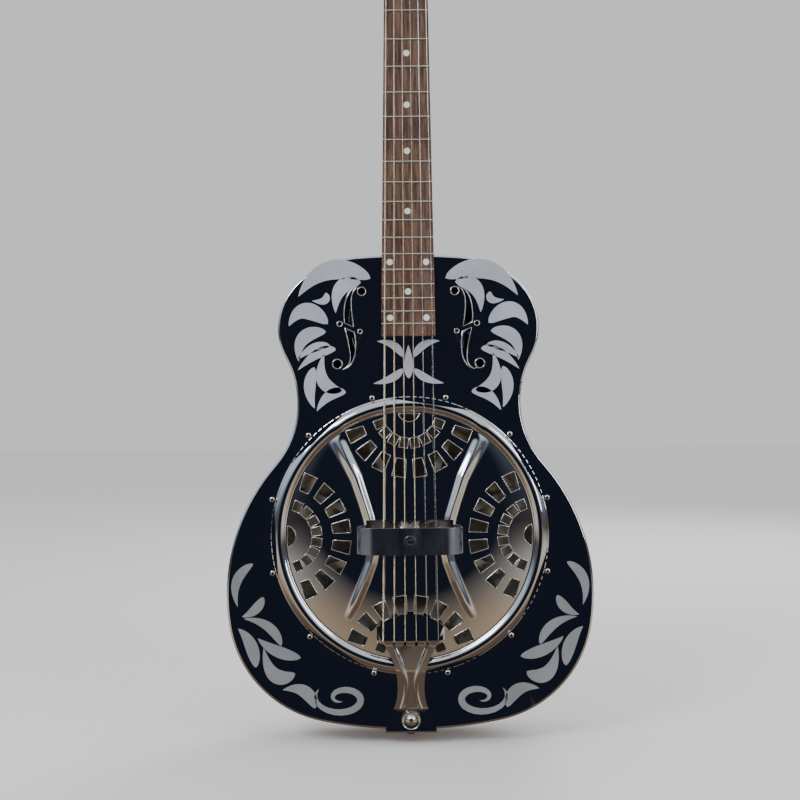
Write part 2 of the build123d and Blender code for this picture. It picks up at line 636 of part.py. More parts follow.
with BuildPart() as tailpiece:
    wrap = BODY_BELOW + TAIL_WRAP_GAP
    arm_low = ARM_UNDER[-1][1]
    with BuildSketch(side_view(BODY)):
        with BuildLine():
            under = [(-reach, height) for reach, height in ARM_UNDER]
            over = [(-reach, height + TAIL_SHEET) for reach, height in ARM_UNDER]
            Polyline(*under, (-wrap + 1, arm_low), (-wrap, arm_low - 1), (-wrap, -TAIL_WRAP_DROP),
                     (-wrap - TAIL_SHEET, -TAIL_WRAP_DROP), (-wrap - TAIL_SHEET, arm_low),
                     (-wrap, arm_low + TAIL_SHEET), *reversed(over), close=True)
        make_face()
    extrude(amount=TAIL_HOOD_HALF, both=True)
    with BuildSketch(BODY.offset(-TAIL_WRAP_DROP - 1)):
        with BuildLine():
            Spline(*[(half_width, -reach) for reach, half_width in ARM_SIDE])
            Spline(*[(-half_width, -reach) for reach, half_width in ARM_SIDE])
            Line((-ARM_SIDE[0][1], -ARM_SIDE[0][0]), (ARM_SIDE[0][1], -ARM_SIDE[0][0]))
            Line((-ARM_SIDE[-1][1], -ARM_SIDE[-1][0]), (ARM_SIDE[-1][1], -ARM_SIDE[-1][0]))
        make_face()
    extrude(amount=TAIL_WRAP_DROP + 20, mode=Mode.INTERSECT)
    hood_low = TAIL_HOOD_TOP - TAIL_HOOD_THICKNESS
    with BuildSketch(BODY.offset(hood_low)):
        with BuildLine():
            near_end, near_middle = TAIL_HOOD_NEAR
            far_end, far_middle = TAIL_HOOD_FAR
            ThreePointArc((-TAIL_HOOD_HALF, -near_end), (0, -near_middle), (TAIL_HOOD_HALF, -near_end))
            Line((TAIL_HOOD_HALF, -near_end), (TAIL_HOOD_HALF, -far_end))
            ThreePointArc((TAIL_HOOD_HALF, -far_end), (0, -far_middle), (-TAIL_HOOD_HALF, -far_end))
            Line((-TAIL_HOOD_HALF, -far_end), (-TAIL_HOOD_HALF, -near_end))
        make_face()
    extrude(amount=TAIL_HOOD_THICKNESS)
    for route in ROUTES:
        notch_x = route[0].X
        box_between(BODY, (notch_x - TAIL_NOTCH / 2, -far_middle - 2.5, hood_low - 3),
                    (notch_x + TAIL_NOTCH / 2, -TAIL_STRING_REACH + TAIL_NOTCH / 2, TAIL_HOOD_TOP + 1),
                    Mode.SUBTRACT)
    ball_room = BALL_RADIUS + SEAT_FIT
    box_between(BODY, (-30, -TAIL_STRING_REACH - ball_room, hood_low - 6),
                (30, -TAIL_STRING_REACH + ball_room, hood_low), Mode.SUBTRACT)
    disc(BODY, 0, -TAIL_SCREW_REACH, COVER_SCREW_SHANK + 0.4, -1, 5, Mode.SUBTRACT)
    rod_between(BODY.from_local_coords((0, -BODY_BELOW + 2, -END_PIN_DEPTH)),
                BODY.from_local_coords((0, -BODY_BELOW - 6, -END_PIN_DEPTH)), END_PIN_RADIUS, Mode.SUBTRACT)
save("tailpiece", tailpiece)

with BuildPart() as tailpiece_screw:
    cup_low = ARM_UNDER[-1][1] + TAIL_SHEET + SEAT_FIT
    dome_low = cup_low + TAIL_CUP_FLOOR
    screw_middle = BODY.from_local_coords((0, -TAIL_SCREW_REACH, 0))
    disc(BODY, 0, -TAIL_SCREW_REACH, COVER_SCREW_SHANK, -12, cup_low)
    disc(BODY, 0, -TAIL_SCREW_REACH, TAIL_CUP_RADIUS, cup_low, cup_low + TAIL_CUP_HEIGHT)
    disc(BODY, 0, -TAIL_SCREW_REACH, TAIL_CUP_RADIUS - TAIL_CUP_LIP, dome_low, cup_low + TAIL_CUP_HEIGHT + 1,
         Mode.SUBTRACT)
    with BuildSketch(Plane(origin=screw_middle, x_dir=(1, 0, 0), z_dir=(0, 0, -1))):
        with BuildLine():
            Polyline((TAIL_SCREW_HEAD, dome_low), (0, dome_low), (0, dome_low + 4))
            ThreePointArc((0, dome_low + 4), (TAIL_SCREW_HEAD * 0.75, dome_low + 2.7),
                          (TAIL_SCREW_HEAD, dome_low))
        make_face()
    revolve(axis=Axis(screw_middle, BODY.z_dir))
save("tailpiece_screw", tailpiece_screw)

with BuildPart() as end_pin:
    pin_out = BODY_BELOW + TAIL_WRAP_GAP + TAIL_SHEET + SEAT_FIT
    pin_deep = -BODY_BELOW + TAIL_BLOCK[1] - 4
    pin_neck, pin_cheek = END_PIN_RADIUS + 0.6, END_PIN_RADIUS + 1.4
    with BuildSketch(side_view(BODY)):
        with BuildLine():
            Polyline((pin_deep, -END_PIN_DEPTH), (pin_deep, END_PIN_RADIUS - END_PIN_DEPTH),
                     (-pin_out, END_PIN_RADIUS - END_PIN_DEPTH), (-pin_out, END_PIN_HEAD - END_PIN_DEPTH),
                     (-pin_out - 1.5, END_PIN_HEAD - END_PIN_DEPTH), (-pin_out - 4, pin_neck - END_PIN_DEPTH),
                     (-pin_out - 6, pin_cheek - END_PIN_DEPTH))
            Spline((-pin_out - 6, pin_cheek - END_PIN_DEPTH), (-pin_out - 8, END_PIN_HEAD - END_PIN_DEPTH),
                   (-pin_out - END_PIN_REACH + 0.5, END_PIN_RADIUS - END_PIN_DEPTH),
                   (-pin_out - END_PIN_REACH, -END_PIN_DEPTH))
            Line((-pin_out - END_PIN_REACH, -END_PIN_DEPTH), (pin_deep, -END_PIN_DEPTH))
        make_face()
    revolve(axis=Axis(BODY.from_local_coords((0, 0, -END_PIN_DEPTH)), BODY.y_dir))
save("end_pin", end_pin)

# ------------------------------------------------------------------ neck, fretboard and nut

# Screws on the headstock, as (x, along): three in the rod's cover, four in each tuner plate.
COVER_SCREWS = ((0.0, 38.0), (-6.5, 8.0), (6.5, 8.0))
PLATE_SCREWS = tuple((side * x, along) for side in (-1, 1) for x in (17.0, 28.5) for along in (31.5, 131.5))


def head_outline():
    """The headstock's outline as a flat sketch on its own frame."""
    foot, wide = NUT_WIDTH / 2, HEAD_HALF_WIDTH
    with BuildSketch() as outline:
        with BuildLine():
            Polyline((foot, 0), (foot + 1, 10), (wide - 1, 27))
            Spline((wide - 1, 27), (wide, 34), tangents=((0.3, 1), (0, 1)))
            Line((wide, 34), (wide, 128))
            Spline((wide, 128), (wide - 1.5, 150), (wide - 7, 166), (wide - 22, 172), (0, HEAD_LENGTH))
            mirror(about=Plane.YZ)
            Line((-foot, 0), (foot, 0))
        make_face()
    return outline.sketch_local


def rod_pocket(low, high):
    """The opening over the truss rod's nut."""
    half_pocket = ROD_POCKET[0] / 2
    box_between(HEAD, (-half_pocket, 2, low), (half_pocket, 2 + ROD_POCKET[1], high), Mode.SUBTRACT)


with BuildPart() as neck:
    for along, width, depth in ((0.0, NUT_WIDTH, NECK_DEPTH_NUT),
                                (fret_place(JOIN_FRET) - 2, BOARD_JOIN_WIDTH, NECK_DEPTH_HEEL)):
        with BuildSketch(neck_section(along)):
            with BuildLine():
                Line((-width / 2, 0), (width / 2, 0))
                Spline((width / 2, 0), (0, depth), (-width / 2, 0), tangents=((0, 1), (0, -1)))
            make_face()
    loft()
    for depth, half_x, half_y in HEEL_SECTIONS:
        with BuildSketch(BODY.offset(-depth)):
            with Locations((0, BODY_ABOVE)):
                Ellipse(half_x, half_y)
    loft()
    with BuildSketch(BODY.offset(-BODY_DEPTH - 2)):
        add(body_outline(-SEAT_FIT))
    extrude(amount=BODY_DEPTH + 2 + SEAT_FIT, mode=Mode.SUBTRACT)
    board_end_y = NECK.from_local_coords((0, BOARD_END, 0)).Z - BODY.origin.Z
    with BuildSketch(side_view(BODY)):
        wedge_low, wedge_high = board_end_y + 1, BODY_ABOVE + 2
        Polygon((wedge_high, SEAT_FIT), (wedge_low, SEAT_FIT), (wedge_low, board_under(wedge_low)),
                (wedge_high, board_under(wedge_high)), align=None)
    extrude(amount=BOARD_JOIN_WIDTH / 2 - 3, both=True)
    box_between(BODY, (-TENON[0] / 2, BODY_ABOVE - TENON_LENGTH, -TENON_TOP - TENON[1]),
                (TENON[0] / 2, BODY_ABOVE + 2, -TENON_TOP))
    with BuildSketch(HEAD.offset(-HEAD_THICKNESS)):
        add(head_outline())
    extrude(amount=HEAD_THICKNESS)
    for side in (-1, 1):
        for row in POST_ROWS:
            disc(HEAD, side * POST_X, row, BUSHING_RADIUS, -HEAD_THICKNESS - 1, 1, Mode.SUBTRACT)
    rod_pocket(-10, 1)
    rod_between(NECK.from_local_coords((0, fret_place(JOIN_FRET) + 12, -ROD_DEPTH)),
                NECK.from_local_coords((0, 24, -ROD_DEPTH)), ROD_RADIUS + STRING_FIT, Mode.SUBTRACT)
    for x, along in COVER_SCREWS:
        disc(HEAD, x, along, SMALL_SCREW_SHANK, -5, 1, Mode.SUBTRACT)
    for x, along in PLATE_SCREWS:
        disc(HEAD, x, along, SMALL_SCREW_SHANK, -HEAD_THICKNESS - 1, -HEAD_THICKNESS + 6, Mode.SUBTRACT)
save("neck", neck)

with BuildPart() as headstock_veneer:
    with BuildSketch(HEAD):
        add(head_outline())
    extrude(amount=VENEER)
    for side in (-1, 1):
        for row in POST_ROWS:
            disc(HEAD, side * POST_X, row, BUSHING_RADIUS, -1, VENEER + 1, Mode.SUBTRACT)
    rod_pocket(-1, VENEER + 1)
    for x, along in COVER_SCREWS:
        disc(HEAD, x, along, SMALL_SCREW_SHANK, -1, VENEER + 1, Mode.SUBTRACT)
save("headstock_veneer", headstock_veneer)


def between_frets(number):
    return (fret_place(number - 1) + fret_place(number)) / 2


DOT_PLACES = [(0.0, between_frets(number)) for number in SINGLE_DOTS]
DOT_PLACES += [(side * DOT_PAIR_HALF, between_frets(number)) for number in PAIRED_DOTS for side in (-1, 1)]

with BuildPart() as fretboard:
    with BuildSketch(NECK):
        near, far = board_half_width(-NUT_LENGTH), board_half_width(BOARD_END)
        Polygon((-near, -NUT_LENGTH), (near, -NUT_LENGTH), (far, BOARD_END), (-far, BOARD_END), align=None)
    extrude(amount=BOARD_THICKNESS)
    for number in range(1, FRET_COUNT + 1):
        low = fret_place(number) - FRET_TANG_WIDTH / 2
        box_between(NECK, (-BOARD_JOIN_WIDTH, low, BOARD_THICKNESS - FRET_TANG_DEPTH),
                    (BOARD_JOIN_WIDTH, low + FRET_TANG_WIDTH, BOARD_THICKNESS + 1), Mode.SUBTRACT)
    for x, along in DOT_PLACES:
        disc(NECK, x, along, DOT_RADIUS, BOARD_THICKNESS - DOT_DEPTH, BOARD_THICKNESS + 1, Mode.SUBTRACT)
save("fretboard", fretboard)

with BuildPart() as position_dots:
    for x, along in DOT_PLACES:
        disc(NECK, x, along, DOT_RADIUS, BOARD_THICKNESS - DOT_DEPTH, BOARD_THICKNESS + 0.02)
save("position_dots", position_dots)

with BuildPart() as fret_wires:
    for number in range(1, FRET_COUNT + 1):
        along = fret_place(number)
        half_wire = board_half_width(along) - FRET_SIDE_SETBACK
        half_crown, half_tang = FRET_CROWN_WIDTH / 2, FRET_TANG_WIDTH / 2
        with BuildSketch(side_view(NECK)):
            with BuildLine():
                Polyline((along - half_crown, BOARD_THICKNESS), (along - half_tang, BOARD_THICKNESS),
                         (along - half_tang, BOARD_THICKNESS - FRET_TANG_DEPTH),
                         (along + half_tang, BOARD_THICKNESS - FRET_TANG_DEPTH),
                         (along + half_tang, BOARD_THICKNESS), (along + half_crown, BOARD_THICKNESS))
                ThreePointArc((along + half_crown, BOARD_THICKNESS),
                              (along, BOARD_THICKNESS + FRET_CROWN_HEIGHT),
                              (along - half_crown, BOARD_THICKNESS))
            make_face()
        extrude(amount=half_wire, both=True)
save("fret_wires", fret_wires)

with BuildPart() as nut:
    box_between(NECK, (-NUT_WIDTH / 2, -NUT_LENGTH, 0), (NUT_WIDTH / 2, 0, NUT_STRING_HEIGHT + NUT_COVER))
    for index, route in enumerate(ROUTES):
        groove = STRING_GAUGES[index] / 2 + STRING_FIT
        for towards in (route[2], route[4]):
            away = (route[3] - towards).normalized()
            rod_between(route[3] + away * 0.3, route[3] - away * 9, groove, Mode.SUBTRACT)
save("nut", nut)

# ------------------------------------------------------------------ truss rod

ROD_NUT_LOW = 3.0
with BuildPart() as truss_rod:
    rod_between(NECK.from_local_coords((0, fret_place(JOIN_FRET) + 13, -ROD_DEPTH)),
                NECK.from_local_coords((0, ROD_NUT_LOW + ROD_NUT_LENGTH + 1.5, -ROD_DEPTH)), ROD_RADIUS)
save("truss_rod", truss_rod)

with BuildPart() as truss_rod_nut:
    with BuildSketch(neck_section(ROD_NUT_LOW)):
        with Locations((0, ROD_DEPTH)):
            RegularPolygon(ROD_NUT_FLATS / 2, 6, major_radius=False)
            Circle(ROD_RADIUS + SHAFT_FIT, mode=Mode.SUBTRACT)
    extrude(amount=ROD_NUT_LENGTH)
save("truss_rod_nut", truss_rod_nut)

with BuildPart() as truss_rod_cover:
    with BuildSketch(HEAD.offset(VENEER)):
        with BuildLine():
            Polyline((-10, 4), (10, 4), (8, 20))
            Spline((8, 20), (5, 36), (0, 44), (-5, 36), (-8, 20))
            Line((-8, 20), (-10, 4))
        make_face()
    extrude(amount=ROD_COVER_THICKNESS)
    for x, along in COVER_SCREWS:
        disc(HEAD, x, along, SMALL_SCREW_SHANK, VENEER - 1, VENEER + 3, Mode.SUBTRACT)
save("truss_rod_cover", truss_rod_cover)

with BuildPart() as headstock_screws:
    cover_top = VENEER + ROD_COVER_THICKNESS
    for x, along in COVER_SCREWS:
        disc(HEAD, x, along, SMALL_SCREW_SHANK, -5, cover_top)
        disc(HEAD, x, along, SMALL_SCREW_HEAD, cover_top, cover_top + 0.9)
    plate_back = -HEAD_THICKNESS - PLATE_THICKNESS
    for x, along in PLATE_SCREWS:
        disc(HEAD, x, along, SMALL_SCREW_SHANK, plate_back, -HEAD_THICKNESS + 6)
        disc(HEAD, x, along, SMALL_SCREW_HEAD, plate_back - 0.9, plate_back)
save("headstock_screws", headstock_screws)

# ------------------------------------------------------------------ tuners

WORM_HEIGHT = -HEAD_THICKNESS - WORM_DROP


def tuner_plate(side):
    """A plate with a pair of ears for each worm's shaft."""
    with BuildPart() as plate:
        near, far = sorted((side * PLATE_SPAN[0], side * PLATE_SPAN[1]))
        box_between(HEAD, (near, POST_ROWS[0] - 15, -HEAD_THICKNESS - PLATE_THICKNESS),
                    (far, POST_ROWS[-1] + 21, -HEAD_THICKNESS))
        for row in POST_ROWS:
            disc(HEAD, side * POST_X, row, POST_RADIUS + SHAFT_FIT, -HEAD_THICKNESS - 2, 0, Mode.SUBTRACT)
            worm_y = row + WORM_DISTANCE
            for ear in (-1, 1):
                near, far = sorted((ear * EAR_INNER, ear * (EAR_INNER + EAR_THICKNESS)))
                box_between(HEAD, (side * POST_X + near, worm_y - 3.1, WORM_HEIGHT - 3.0),
                            (side * POST_X + far, worm_y + 3.1, -HEAD_THICKNESS - PLATE_THICKNESS / 2))
            rod_between(HEAD.from_local_coords((side * POST_X - 8, worm_y, WORM_HEIGHT)),
                        HEAD.from_local_coords((side * POST_X + 8, worm_y, WORM_HEIGHT)),
                        WORM_SHAFT + SHAFT_FIT, Mode.SUBTRACT)
        for x, along in PLATE_SCREWS:
            if x * side > 0:
                disc(HEAD, x, along, SMALL_SCREW_SHANK, -HEAD_THICKNESS - 2, 0, Mode.SUBTRACT)
    return plate


def tuner_post(side, row):
    """A string post that carries its gear on a stub, held by a riveted head."""
    gear_top = WORM_HEIGHT + GEAR_FACE / 2
    gear_low = WORM_HEIGHT - GEAR_FACE / 2
    with BuildPart() as post:
        disc(HEAD, side * POST_X, row, POST_RADIUS, gear_top, POST_TOP)
        disc(HEAD, side * POST_X, row, GEAR_BORE, gear_low, gear_top)
        disc(HEAD, side * POST_X, row, 2.6, gear_low - 1.2, gear_low)
        rod_between(HEAD.from_local_coords((side * POST_X - 5, row, POST_TOP - 3)),
                    HEAD.from_local_coords((side * POST_X + 5, row, POST_TOP - 3)), 0.9, Mode.SUBTRACT)
        chamfer(post.edges().group_by(Axis.Y)[0], 0.5)
    return post


def tuner_gear(side, row):
    """A spur gear with one tooth pointing at its worm."""
    with BuildPart() as gear:
        corners = []
        for tooth in range(GEAR_TEETH):
            turn = radians(90 + 360 / GEAR_TEETH * tooth)
            half_flank = (GEAR_ROOT, (0.0, GEAR_PITCH_HALF), GEAR_TIP)
            rising = [(PITCH_RADIUS + out, -half) for out, half in half_flank]
            falling = [(reach, -across) for reach, across in reversed(rising)]
            corners += [(reach * cos(turn) - across * sin(turn), reach * sin(turn) + across * cos(turn))
                        for reach, across in rising + falling]
        with BuildSketch(HEAD.offset(WORM_HEIGHT - GEAR_FACE / 2)):
            with Locations((side * POST_X, row)):
                Polygon(*corners, align=None)
                Circle(GEAR_BORE, mode=Mode.SUBTRACT)
        extrude(amount=GEAR_FACE)
    return gear


def tuner_worm(side, row):
    """A one-start worm made by twisting an off-centre circle, on a straight shaft."""
    half_worm = WORM_TURNS * WORM_LEAD / 2
    start = HEAD.from_local_coords((side * POST_X - half_worm, row + WORM_DISTANCE, WORM_HEIGHT))
    thread_plane = Plane(origin=start, x_dir=HEAD.y_dir, z_dir=(1, 0, 0))
    with BuildSketch(thread_plane) as thread:
        with Locations((-WORM_THROW, 0)):
            Circle(WORM_CIRCLE)
    twisted = Solid.extrude_linear_with_rotation(
        thread.sketch.faces()[0], start, Vector(2 * half_worm, 0, 0), side * -1 * 360 * WORM_TURNS)
    with BuildPart() as worm:
        add(twisted)
        worm_y = row + WORM_DISTANCE
        inner_end = POST_X - EAR_INNER - EAR_THICKNESS - 0.4
        rod_between(HEAD.from_local_coords((side * inner_end, worm_y, WORM_HEIGHT)),
                    HEAD.from_local_coords((side * (BUTTON_START + 9), worm_y, WORM_HEIGHT)), WORM_SHAFT)
    return worm


def tuner_button(side, row):
    """An oval button on the end of the worm's shaft."""
    with BuildPart() as button:
        length, height, thickness = BUTTON_SIZE
        plane = HEAD.offset(WORM_HEIGHT - thickness / 2)
        with BuildSketch(plane):
            with Locations((side * (BUTTON_START + length / 2), row + WORM_DISTANCE)):
                Ellipse(length / 2, height / 2)
        extrude(amount=thickness)
        flat_faces = button.faces().filter_by(Axis(HEAD.origin, HEAD.z_dir))
        fillet(flat_faces.edges(), BUTTON_ROUNDING)
        rod_between(HEAD.from_local_coords((side * (BUTTON_START - 0.8), row + WORM_DISTANCE, WORM_HEIGHT)),
                    HEAD.from_local_coords((side * (BUTTON_START + 5), row + WORM_DISTANCE, WORM_HEIGHT)),
                    BUTTON_COLLAR)
        rod_between(HEAD.from_local_coords((side * (BUTTON_START - 2), row + WORM_DISTANCE, WORM_HEIGHT)),
                    HEAD.from_local_coords((side * (BUTTON_START + 9), row + WORM_DISTANCE, WORM_HEIGHT)),
                    WORM_SHAFT, Mode.SUBTRACT)
    return button


save("tuner_plate_bass", tuner_plate(-1))
save("tuner_plate_treble", tuner_plate(1))

with BuildPart() as tuner_bushings:
    for side in (-1, 1):
        for row in POST_ROWS:
            disc(HEAD, side * POST_X, row, BUSHING_RADIUS, -BUSHING_DEPTH, VENEER)
            disc(HEAD, side * POST_X, row, BUSHING_FLANGE, VENEER, VENEER + BUSHING_FLANGE_HEIGHT)
            disc(HEAD, side * POST_X, row, POST_RADIUS + SHAFT_FIT, -BUSHING_DEPTH - 1, VENEER + 3,
                 Mode.SUBTRACT)
save("tuner_bushings", tuner_bushings)

# Tuners take their strings' numbers: 1 to 3 on the treble side from the nut up, 6 to 4 on the bass side.
for string_number in range(1, 7):
    hand = 1 if string_number < 4 else -1
    row_place = POST_ROWS[ROW_OF_STRING[string_number - 1]]
    save(f"tuner_post_{string_number}", tuner_post(hand, row_place))
    save(f"tuner_gear_{string_number}", tuner_gear(hand, row_place))
    save(f"tuner_worm_{string_number}", tuner_worm(hand, row_place))
    save(f"tuner_button_{string_number}", tuner_button(hand, row_place))

# ------------------------------------------------------------------ strings

for index, route in enumerate(ROUTES):
    radius = STRING_GAUGES[index] / 2
    side = 1 if index < 3 else -1
    row = POST_ROWS[ROW_OF_STRING[index]]
    with BuildPart() as string:
        with BuildLine():
            FilletPolyline(*route, radius=STRING_BEND)
        with BuildSketch(Plane(origin=route[0], z_dir=(route[1] - route[0]).normalized())):
            Circle(radius)
        sweep()
        inner = POST_RADIUS + SHAFT_FIT
        with BuildSketch(HEAD.offset(WINDING_BASE)):
            with Locations((side * POST_X, row)):
                Circle(inner + 2 * radius)
                Circle(inner, mode=Mode.SUBTRACT)
        extrude(amount=2 * radius * WINDING_TURNS)
    save(f"string_{index + 1}", string)

with BuildPart() as string_ball_ends:
    for route in ROUTES:
        centre = route[0] - BODY.z_dir * BALL_RADIUS
        half_ball = Vector(BALL_LENGTH / 2, 0, 0)
        rod_between(centre - half_ball, centre + half_ball, BALL_RADIUS)
save("string_ball_ends", string_ball_ends)

print("body above the saddle", round(BODY_ABOVE, 2), "string height at the saddle", round(SADDLE_HEIGHT, 2))
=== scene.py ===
# %% [markdown]
# # A metal-bodied resonator guitar
# The guitar's frame comes from its CAD model: every piece is already at its real size and place, in
# metres. This lesson gives it its finish. The frame is loaded first, and the box round it is kept, so that
# it can be printed beside the finished model's box at the end.

import json
from math import cos, pi, radians, sin

import bpy
import numpy as np
from mathutils import Matrix, Vector
from mathutils.bvhtree import BVHTree

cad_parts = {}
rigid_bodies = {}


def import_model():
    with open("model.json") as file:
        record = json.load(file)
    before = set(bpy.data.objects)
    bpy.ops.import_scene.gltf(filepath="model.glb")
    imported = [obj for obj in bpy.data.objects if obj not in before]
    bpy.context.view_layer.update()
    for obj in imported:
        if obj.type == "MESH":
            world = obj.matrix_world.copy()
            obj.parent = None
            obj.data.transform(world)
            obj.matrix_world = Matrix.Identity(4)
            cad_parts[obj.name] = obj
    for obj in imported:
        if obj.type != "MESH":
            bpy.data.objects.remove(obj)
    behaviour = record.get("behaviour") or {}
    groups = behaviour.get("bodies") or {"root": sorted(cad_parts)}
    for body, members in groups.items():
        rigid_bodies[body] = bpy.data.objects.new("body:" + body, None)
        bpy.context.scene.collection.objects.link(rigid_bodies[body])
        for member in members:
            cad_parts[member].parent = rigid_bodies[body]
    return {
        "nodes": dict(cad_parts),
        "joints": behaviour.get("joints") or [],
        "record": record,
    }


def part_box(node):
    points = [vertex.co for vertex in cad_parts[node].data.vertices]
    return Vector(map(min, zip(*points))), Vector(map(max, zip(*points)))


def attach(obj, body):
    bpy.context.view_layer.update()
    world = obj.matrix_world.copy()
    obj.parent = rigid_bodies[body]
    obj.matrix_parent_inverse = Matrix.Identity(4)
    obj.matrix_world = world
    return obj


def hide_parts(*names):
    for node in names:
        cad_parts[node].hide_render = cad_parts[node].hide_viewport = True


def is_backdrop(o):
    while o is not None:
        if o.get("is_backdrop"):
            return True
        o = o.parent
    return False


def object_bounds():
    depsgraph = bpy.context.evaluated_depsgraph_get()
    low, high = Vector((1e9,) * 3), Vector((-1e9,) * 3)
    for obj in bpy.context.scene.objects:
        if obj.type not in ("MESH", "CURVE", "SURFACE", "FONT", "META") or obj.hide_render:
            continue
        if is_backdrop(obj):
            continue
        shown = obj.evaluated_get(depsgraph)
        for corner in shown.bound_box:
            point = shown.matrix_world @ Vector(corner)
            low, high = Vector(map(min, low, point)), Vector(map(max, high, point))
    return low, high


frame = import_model()
frame_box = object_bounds()
nodes = frame["nodes"]
MM = 0.001
print("pieces in the frame:", len(nodes))

# %% [markdown]
# ## Where the body is
# The round coverplate gives the body's centre, and the body's top gives the plane that most new pieces lie
# on. In the body's own frame x runs across, y runs up and z comes out of the top. A new piece is modelled
# flat in that frame and then turned up into place, which is how a panel is drawn on a bench before it is
# fitted.

# %% The body's frame, read from the CAD boxes
cover_low, cover_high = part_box("coverplate")
TOP_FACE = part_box("body_top")[0].y
CENTRE = Vector((0.0, TOP_FACE, (cover_low.z + cover_high.z) / 2))
BODY_TO_WORLD = Matrix.Translation(CENTRE) @ Matrix.Rotation(pi / 2, 4, "X")
WORLD_TO_BODY = BODY_TO_WORLD.inverted()
COVER_RADIUS = (cover_high.x - cover_low.x) / 2 / MM
print("centre (mm):", [round(c / MM, 1) for c in CENTRE], "coverplate radius", round(COVER_RADIUS, 1))

# %% [markdown]
# ## Small tools
# Operators act on everything that is selected, and the loaded frame starts selected, so each step first
# deselects all. A piece modelled in the body's frame is placed by a matrix that is then applied, which
# leaves its object at the origin with its place in its mesh.

# %% Selecting, placing and finishing a piece
def work_on(piece):
    """Deselects everything, then makes this piece the one that operators act on."""
    if bpy.context.mode != "OBJECT":
        bpy.ops.object.mode_set(mode="OBJECT")
    bpy.ops.object.select_all(action="DESELECT")
    piece.select_set(True)
    bpy.context.view_layer.objects.active = piece
    return piece


def settle(piece, matrix):
    """Moves a piece by a matrix and applies it, so that the place is in the mesh."""
    work_on(piece)
    piece.matrix_world = matrix @ piece.matrix_world
    bpy.ops.object.transform_apply(location=True, rotation=True, scale=True)
    return piece


def apply_modifier(piece, kind, **settings):
    """Adds one modifier with its settings and applies it."""
    work_on(piece)
    modifier = piece.modifiers.new(kind.lower(), kind)
    for name, value in settings.items():
        setattr(modifier, name, value)
    bpy.ops.object.modifier_apply(modifier=modifier.name)


def soften(piece, angle=32):
    """Smooth shading that keeps the edges sharper than the angle."""
    work_on(piece)
    bpy.ops.object.shade_smooth_by_angle(angle=radians(angle))


def merged_copy(name, title):
    """A copy of a CAD piece's mesh with its loose triangles joined up."""
    piece = bpy.data.objects.new(title, nodes[name].data.copy())
    bpy.context.scene.collection.objects.link(piece)
    work_on(piece)
    bpy.ops.object.mode_set(mode="EDIT")
    bpy.ops.mesh.select_all(action="SELECT")
    bpy.ops.mesh.remove_doubles(threshold=1e-6)
    bpy.ops.object.mode_set(mode="OBJECT")
    return piece


def join(pieces, title):
    """Joins pieces into one."""
    work_on(pieces[0])
    for piece in pieces:
        piece.select_set(True)
    bpy.ops.object.join()
    bpy.context.object.name = title
    return bpy.context.object


def fit_piece(piece, material, body="root", stands_for=()):
    """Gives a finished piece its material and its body."""
    piece.data.materials.clear()
    piece.data.materials.append(material)
    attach(piece, body)
    if stands_for:
        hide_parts(*stands_for)
    return piece


# %% [markdown]
# ## Finishes
# Each finish is a small node tree on the Principled shader. Values that are the same all over are set on
# the shader itself. What varies over the surface, such as grain, scratches or a warp in polished sheet,
# comes from noise that reads Object coordinates, so it stays fixed to the piece.

# %% Node tree helpers
def new_finish(name, base, metallic, roughness, **sockets):
    """A material with a Principled shader, and its node tree."""
    material = bpy.data.materials.new(name)
    material.use_nodes = True
    tree = material.node_tree
    shader = tree.nodes["Principled BSDF"]
    shader.inputs["Base Color"].default_value = (*base, 1)
    shader.inputs["Metallic"].default_value = metallic
    shader.inputs["Roughness"].default_value = roughness
    for socket, value in sockets.items():
        shader.inputs[socket.replace("_", " ")].default_value = value
    return material, tree, shader


def object_noise(tree, stretch, scale, detail=4.0, roughness=0.5, turn=(0, 0, 0)):
    """Noise on Object coordinates, stretched by a Mapping node."""
    place = tree.nodes.new("ShaderNodeTexCoord")
    mapping = tree.nodes.new("ShaderNodeMapping")
    mapping.inputs["Scale"].default_value = stretch
    mapping.inputs["Rotation"].default_value = turn
    noise = tree.nodes.new("ShaderNodeTexNoise")
    noise.inputs["Scale"].default_value = scale
    noise.inputs["Detail"].default_value = detail
    noise.inputs["Roughness"].default_value = roughness
    tree.links.new(place.outputs["Object"], mapping.inputs["Vector"])
    tree.links.new(mapping.outputs["Vector"], noise.inputs["Vector"])
    return noise.outputs["Fac"]


def colour_ramp(tree, factor, stops):
    """A colour ramp through stops of (place, colour)."""
    ramp = tree.nodes.new("ShaderNodeValToRGB")
    elements = ramp.color_ramp.elements
    while len(elements) < len(stops):
        elements.new(0.5)
    for element, (place, colour) in zip(elements, stops):
        element.position = place
        element.color = (*colour, 1)
    tree.links.new(factor, ramp.inputs["Fac"])
    return ramp.outputs["Color"]


def spread(tree, factor, low, high, from_low=0.3, from_high=0.7):
    """Maps a noise factor onto a range of values."""
    mapped = tree.nodes.new("ShaderNodeMapRange")
    mapped.inputs["From Min"].default_value = from_low
    mapped.inputs["From Max"].default_value = from_high
    mapped.inputs["To Min"].default_value = low
    mapped.inputs["To Max"].default_value = high
    tree.links.new(factor, mapped.inputs["Value"])
    return mapped.outputs["Result"]


def raise_surface(tree, shader, *layers):
    """Chains bump nodes, each a (height, strength, distance in metres)."""
    normal = None
    for height, strength, distance in layers:
        bump = tree.nodes.new("ShaderNodeBump")
        bump.inputs["Strength"].default_value = strength
        bump.inputs["Distance"].default_value = distance
        tree.links.new(height, bump.inputs["Height"])
        if normal is not None:
            tree.links.new(normal, bump.inputs["Normal"])
        normal = bump.outputs["Normal"]
    tree.links.new(normal, shader.inputs["Normal"])


